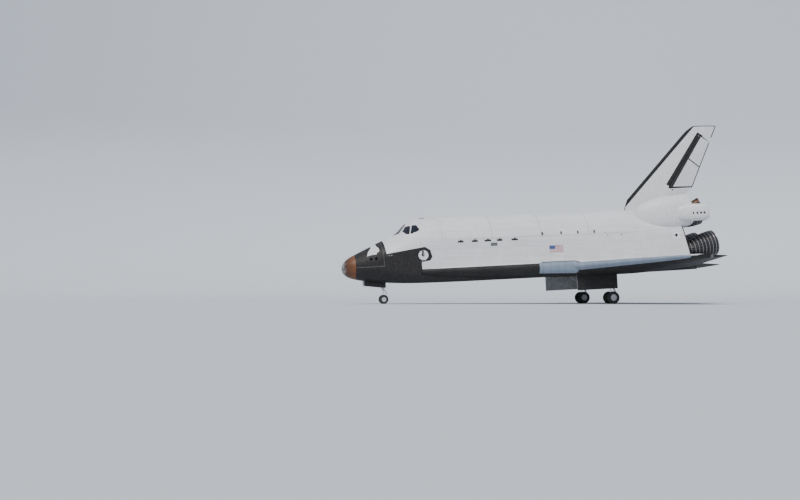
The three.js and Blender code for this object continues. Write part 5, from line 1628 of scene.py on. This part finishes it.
paint(mapped(wing, 1), wing_colour)
EDGE_PANEL = 0.650
lay = edge_panels.data.uv_layers["UVMap"]
kink_x, kink_y = EDGE_PLAN[1]
for loop in edge_panels.data.loops:
    x, y, _ = edge_panels.data.vertices[loop.vertex_index].co
    ahead, out = x - kink_x, -y - kink_y
    past = min(max((0.86 * ahead + 0.51 * out) / EDGE_PANEL + 0.5, 0), 1)
    along = (0.974 * ahead + 0.230 * out) * (1 - past) + 0.707 * (ahead + out) * past
    lay.data[loop.index].uv = (along + 10, out)
edge_look = Finish("edge panels", 0.38, Specular_IOR_Level=0.6)
laid = edge_look.place(where="UV", shift=(0, 20, 0))
_, edge_gaps = edge_look.bricks(laid, EDGE_PANEL, 60, 0.010)
edge_shade, _ = edge_look.bricks(laid, EDGE_PANEL, 60, 0.0)
edge_tint = edge_look.mix(edge_shade, (0.20, 0.255, 0.335), (0.235, 0.29, 0.37))
grime = edge_look.cloud(edge_look.place(), 2.0, 6.0, 0.3, 0.75)
edge_tint = edge_look.stain(grime, 0.4, edge_tint, (0.14, 0.17, 0.22))
edge_look.colour(edge_look.mix(edge_gaps, edge_tint, (0.09, 0.10, 0.12)))
edge_look.sunk(edge_gaps, 0.006, 0.6)
dressed(edge_panels, edge_look.material)
place_pair(merged("wing_left_piece", [wing] + pins), "wing", "black_tile", "airframe")
place_pair(edge_panels, "leading_edge", "grey_leading_edge", "airframe")

# Elevons
# Two flaps behind each wing, an inboard and an outboard one, with round noses that turn in the cove.
# Each turns on pins at its ends. White above, black tiles below, sealed with metal at the nose.
TRAIL_X = 32.746  # the trailing edge where it would meet the centre line
TRAIL_SWEEP = 0.1774
NOSE_SEAL = 0.02
TRAIL_SEAL = 0.12


def elevon_colour(middle, normal):
    if middle.x < HINGE_X + NOSE_SEAL:
        return 2
    dark = middle.x > TRAIL_X + TRAIL_SWEEP * middle.y - TRAIL_SEAL or abs(normal.y) > 0.8 or normal.z <= 0
    return 1 if dark else 0


for part_name, ends in ELEVONS.items():
    rings = []
    for y in evenly(*ends, 12):
        chord = TRAIL_X - TRAIL_SWEEP * y - HINGE_X
        radius = hinge_half(y) - 0.010
        flat = [(chord * share, -radius + (radius - 0.015) * share) for share in (0.25, 0.5, 0.75, 0.97, 1.0)]
        rings.append(hinge_section(y, radius, True, flat + [(x, -z) for x, z in reversed(flat)]))
    elevon = skinned(f"elevon_{part_name}", rings)
    for y in ends:
        carve(elevon, bar("tool", hinge_point(y - 0.105), hinge_point(y + 0.105), PIN_BORE, steps=32))
    paint(wear(mapped(elevon, 1), white_tile, black_tile, seal_metal), elevon_colour)
    place_pair(elevon, f"elevon_{part_name}", "black_tile")

# Body flap
# One broad flap under the main engines, black-tiled all over, its tiles worn browner here and there.
# Its round nose turns in the heel's cove on two hinge lugs that reach into slots.
FLAP_END = 34.976
nose_turn = evenly(math.pi / 2, math.pi * 1.5, 24)
flap_outline = [(flap_x + FLAP_RADIUS * math.cos(a), flap_z + FLAP_RADIUS * math.sin(a)) for a in nose_turn]
flap_outline += [(FLAP_END, flap_z - 0.03), (FLAP_END, flap_z + 0.03)]
flap = prism("body_flap_piece", flap_outline, "y", -FLAP_HALF_WIDTH, FLAP_HALF_WIDTH)
slot = FLAP_LUGS["width"] / 2 + 0.006
reach = FLAP_LUGS["width"] / 2 + FLAP_LUGS["pin_length"] + 0.005
for y in (-FLAP_LUGS["y"], FLAP_LUGS["y"]):
    slot_z = (flap_z - 0.4, flap_z + 0.4)
    carve(flap, box_of("tool", (flap_x - 0.4, flap_x + 0.17), (y - slot, y + slot), slot_z))
    carve(flap, bar("tool", (flap_x, y - reach, flap_z), (flap_x, y + reach, flap_z), PIN_BORE, steps=32))
flap_tile = tiles("flap tiles", BLACK_TILE, (0.02, 0.019, 0.019), (0.05, 0.045, 0.042), (0.012, 0.012, 0.012),
                  0.32, worn=0.5, shine=0.7)
place(mapped(dressed(flap, flap_tile), 1), "body_flap", "body_flap", slot="black_tile")

# Engine pods
# A smooth white pod on each shoulder of the aft fuselage holds an orbital engine and its tanks.
# Along its outboard side runs the thruster housing, with rows of small round nozzles let into it.
POD = [
    # x, y, z, half width, half height
    (27.280, 1.500, 2.050, 0.150, 0.150),
    (27.813, 1.600, 1.900, 0.620, 1.050),
    (28.804, 1.750, 1.980, 1.020, 1.450),
    (29.769, 1.830, 2.080, 1.200, 1.600),
    (30.760, 1.850, 2.130, 1.290, 1.655),
    (32.300, 1.850, 2.315, 1.300, 1.535),
    (32.720, 1.850, 2.075, 1.180, 1.125),
]
HOUSING = [
    # x, inner y, outer y, low z, high z
    (30.700, 2.300, 3.050, 1.500, 2.600),
    (31.900, 2.500, 3.560, 1.260, 2.820),
    (32.500, 2.820, 3.740, 1.245, 2.840),
    (33.500, 2.970, 3.790, 1.260, 2.800),
    (33.900, 3.040, 3.720, 1.450, 2.600),
]
POD_SQUARENESS = 0.8
OVAL_STEPS = 72
ORBITAL_AT = (32.385, -2.104, 2.560)
ORBITAL = {"pitch": 15.8, "yaw": 12.3, "length": 1.250, "exit": 0.580, "flange": 0.330}
POD_RELIEF = {"root": 0.900, "exit": 1.290, "tilt": 10.5}
pod_at, housing_at = curves_through(POD), curves_through(HOUSING)


def oval(x, y, z, half_width, half_height):
    ring = []
    for i in range(OVAL_STEPS + 1):
        angle = 2 * math.pi * (i % OVAL_STEPS) / OVAL_STEPS - math.pi / 2
        across, up = [math.copysign(abs(v) ** POD_SQUARENESS, v) for v in (math.cos(angle), math.sin(angle))]
        ring.append((x, -y + half_width * across, z + half_height * up))
    return ring


pod_rings = [oval(x, *pod_at(x)) for x in evenly(27.28, 32.72, 68)]
housing_rings = []
for x in evenly(30.70, 33.90, 40):
    inner, outer, low, high = housing_at(x)
    middle = ((inner + outer) / 2, (low + high) / 2)
    housing_rings.append(oval(x, *middle, (outer - inner) / 2, (high - low) / 2))
pod = wear(skinned("pod", pod_rings), white_tile, base_tile)
carve(pod, skinned("tool", housing_rings), "UNION")
orbital_axis = thrust_axis(ORBITAL["pitch"], -ORBITAL["yaw"])
seat = Vector(ORBITAL_AT)
socket_end = seat + orbital_axis * 0.9
carve(pod, bar("tool", seat, socket_end, ORBITAL["flange"] + 0.04, ORBITAL["exit"], 64), look=1)
gimbal, pitch, yaw = ENGINES["engine_top"]
swept = bar("tool", (1, 0, 0), (ENGINE_LENGTH + 0.05, 0, 0), POD_RELIEF["root"], POD_RELIEF["exit"], 72)
carve(pod, moved(swept, engine_place(gimbal, pitch + POD_RELIEF["tilt"], yaw)))


def pod_colour(middle, normal):
    return 1 if normal.x > 0.9 and middle.x > 32.6 and middle.y > -2.9 else 0


paint(pod, pod_colour)
openings = []
for x in (32.300, 32.640, 32.980, 33.320):
    outer = housing_at(x)[1]
    openings.append([(x, -outer - lift, 1.956) for lift in (-0.05, 0.004)])
for x in (32.60, 32.98, 33.36):
    inner, outer, low, high = housing_at(x)
    for z, up in ((high, 1), (low, -1)):
        openings.append([(x, -(inner + outer) / 2, z + up * lift) for lift in (-0.05, 0.004)])
for z in (1.80, 2.25):
    openings.append([(33.88, -3.38, z), (33.904, -3.38, z)])
ports = [rod("port", *ends, 0.105, port_dark, steps=32) for ends in openings]
place_pair(merged("engine_pod_left_piece", [pod] + ports), "engine_pod", "white_skin", "airframe")

# Orbital engine nozzles
# A short brown metal bell behind each pod, with a stiffening rim, on a bolted flange.
# Radiation-cooled niobium, heat-stained, dark inside.
brown_metal = metal("niobium", (0.090, 0.050, 0.038), 0.50, 2.0, 0.85, 0.8)
orbital_profile = [(0, 0), (0, 0.33), (0.09, 0.33), (0.09, 0.22), (0.15, 0.20)]


def orbital_bell(share):
    return 0.150 + (ORBITAL["exit"] - 0.150) * share**0.6


shares = [0.16 + 0.84 * i / 20 for i in range(20)]
orbital_profile += [(ORBITAL["length"] * s, orbital_bell(s) - 0.006) for s in shares]
orbital_profile += [(1.235, 0.568), (1.235, 0.580), (1.25, 0.580), (1.25, 0.555)]
inside = [(ORBITAL["length"] * s, 0.10 + 0.445 * (i / 20) ** 0.7) for i, s in enumerate(shares)]
orbital_profile += list(reversed(inside)) + [(0.05, 0.12), (0.04, 0)]
for node, side in (("orbital_nozzle_left", 1), ("orbital_nozzle_right", -1)):
    root = Vector((seat.x, seat.y * side, seat.z))
    axis = Vector((orbital_axis.x, orbital_axis.y * side, orbital_axis.z))
    nozzle = dressed(turned(node + "_bell", root, axis, orbital_profile, 72), brown_metal)
    bolt = bar("bolt", (0.085, 0.295, 0), (0.105, 0.295, 0), 0.014, steps=6)
    ring = repeated("bolts", bolt, bare_metal, 16, turn=(math.pi / 8, 0, 0))
    moved(ring, Matrix.LocRotScale(root, Vector((1, 0, 0)).rotation_difference(axis), None))
    place(merged(node + "_piece", [nozzle, ring]), "airframe", node, slot="engine_metal")

# Main engines
# Three big bells on gimbals, each with a domed heat shield that turns in the base's socket.
# The bells are walled with fine coolant tubes, held by light steel hoops and crossed by drain lines.
BELL_START = 1.150
BELL_EXIT = 1.194
HOOP = 0.020
DOME_RADIUS = 1.2
tube_wall = Finish("tube wall", 0.42, 0.75)
_, tube_lines = tube_wall.bricks(tube_wall.place(where="UV", shift=(20, 0, 0)), 90, 0.030, 0.006)
bell_tint = tube_wall.cloud(tube_wall.place(), 1.6, 6.0, 0.35, 0.7, (0.050, 0.048, 0.052), (0.11, 0.10, 0.10))
tube_wall.colour(tube_wall.mix(tube_lines, bell_tint, (0.015, 0.015, 0.017)))
tube_wall.sunk(tube_lines, 0.006, 0.7)
hoop_metal = metal("hoop metal", (0.50, 0.50, 0.51), 0.38, 3.0, 0.8, 0.5)
drain_metal = metal("drain metal", (0.22, 0.22, 0.23), 0.42, 3.0, 0.8, 0.5)
shield_cloth = blankets("engine shield", (0.20, 0.195, 0.19), (0.08, 0.08, 0.08), 0.35)


def bell(share):
    return 0.330 + (BELL_EXIT - 0.330) * math.sin(math.pi / 2 * share**0.72) ** 0.95


def bell_at(share, off=0.0):
    return (BELL_START + (ENGINE_LENGTH - BELL_START) * share, bell(share) + off)


def hoop(share, size):
    along, radius = bell_at(share, -HOOP + size * 0.2)
    turns = evenly(0, 2 * math.pi, 10)
    ring = [(along + size * math.cos(t), radius + size * 0.75 * math.sin(t)) for t in turns]
    return dressed(turned("hoop", (0, 0, 0), (1, 0, 0), ring, 96), hoop_metal)


def swept_tube(name, points, radius, steps=8):
    """A tube of one thickness along a line of points, closed at its ends."""
    rings = []
    points = [Vector(p) for p in points]
    for i, point in enumerate(points):
        along = (points[min(i + 1, len(points) - 1)] - points[max(i - 1, 0)]).normalized()
        side = along.cross(Vector((0.12, 0.31, 0.94))).normalized()
        up = along.cross(side)
        angles = [2 * math.pi * (j % steps) / steps for j in range(steps + 1)]
        rings.append([tuple(point + side * radius * math.cos(a) + up * radius * math.sin(a)) for a in angles])
    return skinned(name, rings)


def main_engine(name):
    first = math.acos(EAR_FACE / DOME_RADIUS)
    last = math.asin(0.38 / DOME_RADIUS)
    dome = [(DOME_RADIUS * math.cos(a), DOME_RADIUS * math.sin(a)) for a in evenly(first, last, 24)]
    dome = [(EAR_FACE, 0)] + dome + [(1.16, 0.38), (1.16, 0)]
    outer, inner = ([bell_at(0.02 + 0.98 * i / 40, off) for i in range(41)] for off in (-HOOP, -HOOP - 0.03))
    wall = [(1.15, 0.37)] + outer + list(reversed(inner)) + [(1.28, 0.15), (1.24, 0)]
    parts = [
        dressed(turned("shield", (0, 0, 0), (1, 0, 0), dome, 72), shield_cloth),
        dressed(turned("wall", (0, 0, 0), (1, 0, 0), wall, 96), tube_wall.material),
    ]
    parts += [hoop(share, 0.021) for share in (0.13, 0.24, 0.35, 0.46, 0.57, 0.68, 0.79, 0.90)]
    parts.append(hoop(0.985, 0.026))
    line = [bell_at(0.10 + 0.88 * i / 14, 0.008 - HOOP) for i in range(15)]
    drain = swept_tube("drain", [(along, radius, 0) for along, radius in line], 0.007)
    parts.append(repeated("drains", drain, drain_metal, 24, turn=(math.pi / 12, 0, 0)))
    along, radius = bell_at(0.06, 0.0)
    turns = [math.pi * 2 * i / 48 for i in range(34)]
    feed = [(along, (radius - 0.03) * math.cos(t), (radius - 0.03) * math.sin(t)) for t in turns]
    parts.append(dressed(swept_tube("feed", feed, 0.05, 12), hoop_metal))
    foot = EAR_FACE + 0.04
    for side in (-1, 1):
        low, high = sorted((side * EAR_IN, side * EAR_OUT))
        outline = [(0, -GIMBAL_EYE), (0, GIMBAL_EYE), (foot, GIMBAL_EYE), (foot, -GIMBAL_EYE)]
        ear = prism("ear", outline, "y", low, high)
        carve(ear, bar("ring", (0, low, 0), (0, high, 0), GIMBAL_EYE, steps=48), "UNION")
        carve(ear, bar("tool", (0, -EAR_OUT - 0.05, 0), (0, EAR_OUT + 0.05, 0), PIN + 0.0006, steps=48))
        parts.append(dressed(ear, bare_metal))
    return merged(name, parts)


for node, spot in ENGINES.items():
    place(moved(main_engine(f"{node}_piece"), engine_place(*spot)), node, node, slot="engine_metal")

# Landing gear
# Two main legs and a nose leg, each an oil-filled strut with braces, links, a trunnion and hoses.
# Painted steel with bright pistons; the wheels turn on their axles, and the nose fork steers.
MAIN_AXLE = Vector((23.851, -3.454, -5.376))
MAIN_TYRE = {"radius": 0.565, "width": 0.406, "spread": 0.430}
NOSE_TYRE = {"radius": 0.406, "width": 0.224, "spread": 0.270}
NOSE_LEG_X = 3.658
MAIN_BRACE = {"reach": 1.9, "z": -2.42}  # how far ahead of the leg the brace is held, and its height there
NOSE_BRACE = {"reach": 1.05, "z": -2.18}
MAIN_AXLE_RADIUS, NOSE_AXLE_RADIUS = 0.050, 0.045
AXLE_PLAY = 0.0015
RIM_SHARE = 0.5  # of the tyre's radius
RIM_PROFILE = [
    # shares of half the rim's width and of its radius, dished on its outer face
    (-1, 0), (-1, 0.55), (-0.86, 0.62), (-0.86, 0.88), (-1, 0.92), (-1, 1), (1, 1), (1, 0.93), (0.80, 0.86),
    (0.66, 0.60), (0.70, 0.42), (0.95, 0.36), (0.97, 0),
]
TYRE_SHOULDER = [(-0.80, RIM_SHARE), (-0.96, 0.60), (-1, 0.74), (-0.96, 0.86), (-0.84, 0.945), (-0.66, 0.985)]
GROOVES = (-0.42, -0.14, 0.14, 0.42)
GROOVE_SHAPE = [(-0.045, 0), (-0.03, 0.012), (0.03, 0.012), (0.045, 0)]  # share across, and depth in metres
leg_paint = coat("leg paint", (0.62, 0.63, 0.64), 0.35, 5.0, 0.5)
chrome = metal("bright piston", (0.80, 0.81, 0.82), 0.12, 12.0, 1.0, 0.15)
hose = coat("hose rubber", (0.03, 0.03, 0.032), 0.6)
rubber = Finish("tyre rubber", 0.85)
rubber.colour(rubber.cloud(rubber.place(), 7.0, 7.0, 0.3, 0.75, (0.020, 0.020, 0.021), (0.055, 0.052, 0.050)))
rubber.bump(rubber.noise(rubber.place(), 60.0, 3.0), 0.002, 0.5)
wheel_paint = coat("wheel paint", (0.60, 0.61, 0.62), 0.35, 8.0, 0.6)
nose_axle = PARKED.inverted() @ Vector(joints["nose_wheels_roll"]["pos_m"])


def link(points, y, half):
    """One arm of the links that keep the wheels straight, its outline as [x, z]."""
    return dressed(soften(prism("link", points, "y", y - half, y + half), 0.008), leg_paint)


def tube(start, end, radius, look=leg_paint, end_radius=None):
    return rod("tube", start, end, radius, look, end_radius, 40)


def band(centre, radius, width, axis=(0, 0, 1)):
    """A raised band with bevelled shoulders round a tube."""
    half, shoulder = width / 2, radius - 0.012
    front = [(half, 0), (half, shoulder), (half - 0.012, radius)]
    profile = [(-along, out) for along, out in front] + front[::-1]
    return dressed(turned("band", centre, axis, profile), leg_paint)


def hose_along(line, radius):
    return dressed(swept_tube("hose", line, radius), hose)


def main_leg(name):
    x, y, z = MAIN_AXLE
    near, far = -MAIN_WELL["y"][0] - 0.001, -MAIN_WELL["y"][1] + 0.001
    sleeve_end = -4.450
    brace_x, brace_z = x - MAIN_BRACE["reach"], MAIN_BRACE["z"]
    piston = tube((x, y, z), (x, y, sleeve_end + 0.05), 0.100, chrome)
    knuckle = tube((x, y - 0.15, z), (x, y + 0.15, z), 0.148)
    for part in (piston, knuckle):
        carve(part, bar("tool", (x, y - 0.2, z), (x, y + 0.2, z), MAIN_AXLE_RADIUS + AXLE_PLAY, steps=48))
    parts = [
        tube((x, y, sleeve_end), (x, y, -2.40), 0.150),
        piston,
        band((x, y, sleeve_end + 0.04), 0.172, 0.09),
        band((x, y, -3.55), 0.168, 0.06),
        band((x, y, -2.75), 0.175, 0.10),
        tube((x, far, -2.52), (x, near, -2.52), 0.105),
        tube((brace_x, far, brace_z), (brace_x, near, brace_z), 0.075),
    ]
    for side in (-0.09, 0.09):
        start, end = Vector((x, y + side, sleeve_end + 0.12)), Vector((brace_x, y + side, brace_z))
        parts.append(tube(start, end, 0.060, end_radius=0.052))
        parts.append(band(start.lerp(end, 0.45), 0.078, 0.16, end - start))
        parts.append(band(start.lerp(end, 0.96), 0.075, 0.12, end - start))
    parts += [
        tube((x - 0.15, y, -3.45), (x - 1.05, y, -3.27), 0.028, chrome),
        link([(x + 0.12, -4.38), (x + 0.18, -4.30), (x + 0.47, -4.79), (x + 0.41, -4.83)], y, 0.085),
        link([(x + 0.41, -4.79), (x + 0.47, -4.83), (x + 0.15, z - 0.02), (x + 0.09, z + 0.06)], y, 0.085),
        tube((x + 0.44, y - 0.11, -4.81), (x + 0.44, y + 0.11, -4.81), 0.032, bare_metal),
        knuckle,
    ]
    for side in (-1, 1):
        parts.append(hose_along([(x + behind, y + side * out, up) for behind, out, up in MAIN_HOSE], 0.013))
    return merged(name, parts)


def wheel_pair(name, axle, size, axle_radius):
    """Two bolted rims on one axle."""
    width, spread, rim = size["width"], size["spread"], size["radius"] * RIM_SHARE
    parts = [rod("axle", (0, -spread, 0), (0, spread, 0), axle_radius, bare_metal, steps=48)]
    turn = Vector((1, 0, 0)).rotation_difference(Vector((0, 1, 0)))
    for side in (-1, 1):
        profile = [(side * width * 0.42 * along, (rim - SEAT_GAP) * out) for along, out in RIM_PROFILE]
        parts.append(dressed(turned("rim", (0, side * spread, 0), (0, 1, 0), profile, 64), wheel_paint))
        ends = [(side * width * share, rim * 0.72, 0) for share in (0.30, 0.36)]
        bolt = bar("bolt", *ends, rim * 0.045, steps=8)
        ring = repeated("bolts", bolt, bare_metal, 12, turn=(math.pi / 6, 0, 0))
        parts.append(moved(ring, Matrix.LocRotScale(Vector((0, side * spread, 0)), turn, None)))
    return moved(merged(name, parts), Matrix.Translation(axle))


def tyre(name, centre, size):
    radius, half = size["radius"], size["width"] / 2
    shoulder = [(half * along, radius * out) for along, out in TYRE_SHOULDER]
    tread = []
    for groove in GROOVES:
        for shift, depth in GROOVE_SHAPE:
            spot = groove + shift
            tread.append((half * spot, radius * (1 - 0.03 * spot**2) - depth))
    profile = shoulder + tread + [(-along, out) for along, out in reversed(shoulder)] + shoulder[:1]
    return dressed(turned(name, centre, (0, 1, 0), profile, 96), rubber.material)


def tyre_pair(stem, axle, size):
    """The tyres on the port and the starboard end of an axle."""
    aside = Vector((0, size["spread"], 0))
    return [tyre(f"{stem}_left_piece", axle - aside, size), tyre(f"{stem}_right_piece", axle + aside, size)]


MAIN_HOSE = [
    # behind the leg's axis, out to one side, and height
    (0.165, 0.05, -2.6), (0.172, 0.06, -3.4), (0.175, 0.07, -4.3), (0.30, 0.10, -4.55), (0.33, 0.115, -4.85),
    (0.16, 0.12, -5.15),
]
made = [
    main_leg("main_gear_leg_left_piece"),
    wheel_pair("main_left_wheels_piece", MAIN_AXLE, MAIN_TYRE, MAIN_AXLE_RADIUS),
    *tyre_pair("main_left_tyre", MAIN_AXLE, MAIN_TYRE),
]
twins = [mirror_y(part, part.name.replace("left", "right", 1) + "_starboard") for part in made]
twins[2:] = reversed(twins[2:])
for side, pieces in (("left", made), ("right", twins)):
    wheels = f"main_{side}_wheels"
    nodes = (f"main_gear_leg_{side}", wheels, f"main_{side}_tyre_left", f"main_{side}_tyre_right")
    for piece, body, node, slot in zip(pieces, ("airframe", wheels, wheels, wheels), nodes,
                                       ("gear_paint", "wheel_metal", "tyre", "tyre")):
        place(piece, body, node, slot=slot)

x, z = NOSE_LEG_X, nose_axle.z
reach = NOSE_WELL["half_width"] - 0.001
brace_x, brace_z = x - NOSE_BRACE["reach"], NOSE_BRACE["z"]
sleeve_end = -3.560
NOSE_HOSE = [(0.105, 0.03, -2.3), (0.112, 0.035, -2.9), (0.115, 0.04, -3.5)]
LAMP = [(0, 0), (0, 0.03), (0.03, 0.055), (0.06, 0.06), (0.06, 0.05), (0.045, 0)]
nose_parts = [
    tube((x, 0, sleeve_end), (x, 0, -2.10), 0.095),
    band((x, 0, sleeve_end + 0.05), 0.112, 0.09),
    band((x, 0, -2.85), 0.108, 0.05),
    tube((x, -reach, -2.25), (x, reach, -2.25), 0.068),
    tube((brace_x, -reach, brace_z), (brace_x, reach, brace_z), 0.048),
]
for side in (-1, 1):
    start, end = Vector((x, side * 0.06, -3.30)), Vector((brace_x, side * 0.20, brace_z))
    nose_parts += [
        tube(start, end, 0.036),
        band(start.lerp(end, 0.5), 0.050, 0.12, end - start),
        dressed(turned("lamp", (x - 0.11, side * 0.10, -3.42), (-1, 0, 0), LAMP, 32), bare_metal),
        hose_along([(x + behind, side * out, up) for behind, out, up in NOSE_HOSE], 0.010),
    ]
place(merged("nose_gear_leg_piece", nose_parts), "airframe", "nose_gear_leg", slot="gear_paint")
top = sleeve_end - SEAT_GAP
piston = tube((x, 0, z), (x, 0, top - 0.05), 0.068, chrome)
knuckle = tube((x, -0.105, z), (x, 0.105, z), 0.108)
for part in (piston, knuckle):
    carve(part, bar("tool", (x, -0.2, z), (x, 0.2, z), NOSE_AXLE_RADIUS + AXLE_PLAY, steps=48))
place(merged("nose_gear_fork_piece", [
    band((x, 0, top - 0.045), 0.120, 0.09),
    piston,
    link([(x + 0.09, top - 0.08), (x + 0.15, top - 0.02), (x + 0.33, -3.93), (x + 0.28, -3.96)], 0, 0.048),
    link([(x + 0.28, -3.93), (x + 0.33, -3.96), (x + 0.09, z - 0.01), (x + 0.06, z + 0.04)], 0, 0.048),
    tube((x + 0.305, -0.06, -3.945), (x + 0.305, 0.06, -3.945), 0.020, bare_metal),
    knuckle,
]), "nose_fork", "nose_gear_fork", slot="gear_paint")
axle_at = Vector((x, 0, z))
wheels = wheel_pair("nose_wheels_piece", axle_at, NOSE_TYRE, NOSE_AXLE_RADIUS)
place(wheels, "nose_wheels", "nose_wheels", slot="wheel_metal")
for piece in tyre_pair("nose_tyre", axle_at, NOSE_TYRE):
    place(piece, "nose_wheels", piece.name.removesuffix("_piece"), slot="tyre")

# Gear doors
# Flat doors hang open from the edge of each well: one at each main well, two at the nose.
# Black tiles outside, and white-painted ribbed metal inside.


def gear_door(name, outline, inner_y, outer_y, ribs_x, rib_z):
    """A door panel to port, with upright ribs and three stringers on its inner side."""
    panel = mapped(soften(prism("panel", outline, "y", outer_y, inner_y), 0.008), 2)
    paint(wear(panel, black_tile, leg_paint), lambda _, normal: 0 if normal.y < -0.5 else 1)
    parts = [panel]
    start = inner_y - 0.002
    for x in ribs_x:
        parts.append(block("rib", (x - 0.02, x + 0.02), (start, inner_y + 0.045), rib_z, leg_paint))
    along, (low, high) = (ribs_x[0], ribs_x[-1]), rib_z
    for z in (low + 0.05, (low + high) / 2, high - 0.05):
        parts.append(block("stringer", along, (start, inner_y + 0.03), (z - 0.015, z + 0.015), leg_paint))
    return merged(name, parts)


MAIN_DOOR = [(20.44, -4.560), (24.24, -4.560), (24.24, -3.05), (20.44, -2.90)]  # [x, z]
NOSE_DOOR = [(1.915, -3.20), (3.855, -3.46), (3.855, -2.90), (1.915, -2.68)]
for node, outline, inner_y, outer_y, ribs_x, rib_z in (
    ("main_gear_door", MAIN_DOOR, -4.112, -4.170, [20.55 + 0.45 * i for i in range(8)], (-4.500, -3.25)),
    ("nose_gear_door", NOSE_DOOR, -0.482, -0.530, [2.05 + 0.42 * i for i in range(5)], (-3.17, -2.95)),
):
    door = gear_door(f"{node}_left_piece", outline, inner_y, outer_y, ribs_x, rib_z)
    place_pair(door, node, "black_tile", "airframe")
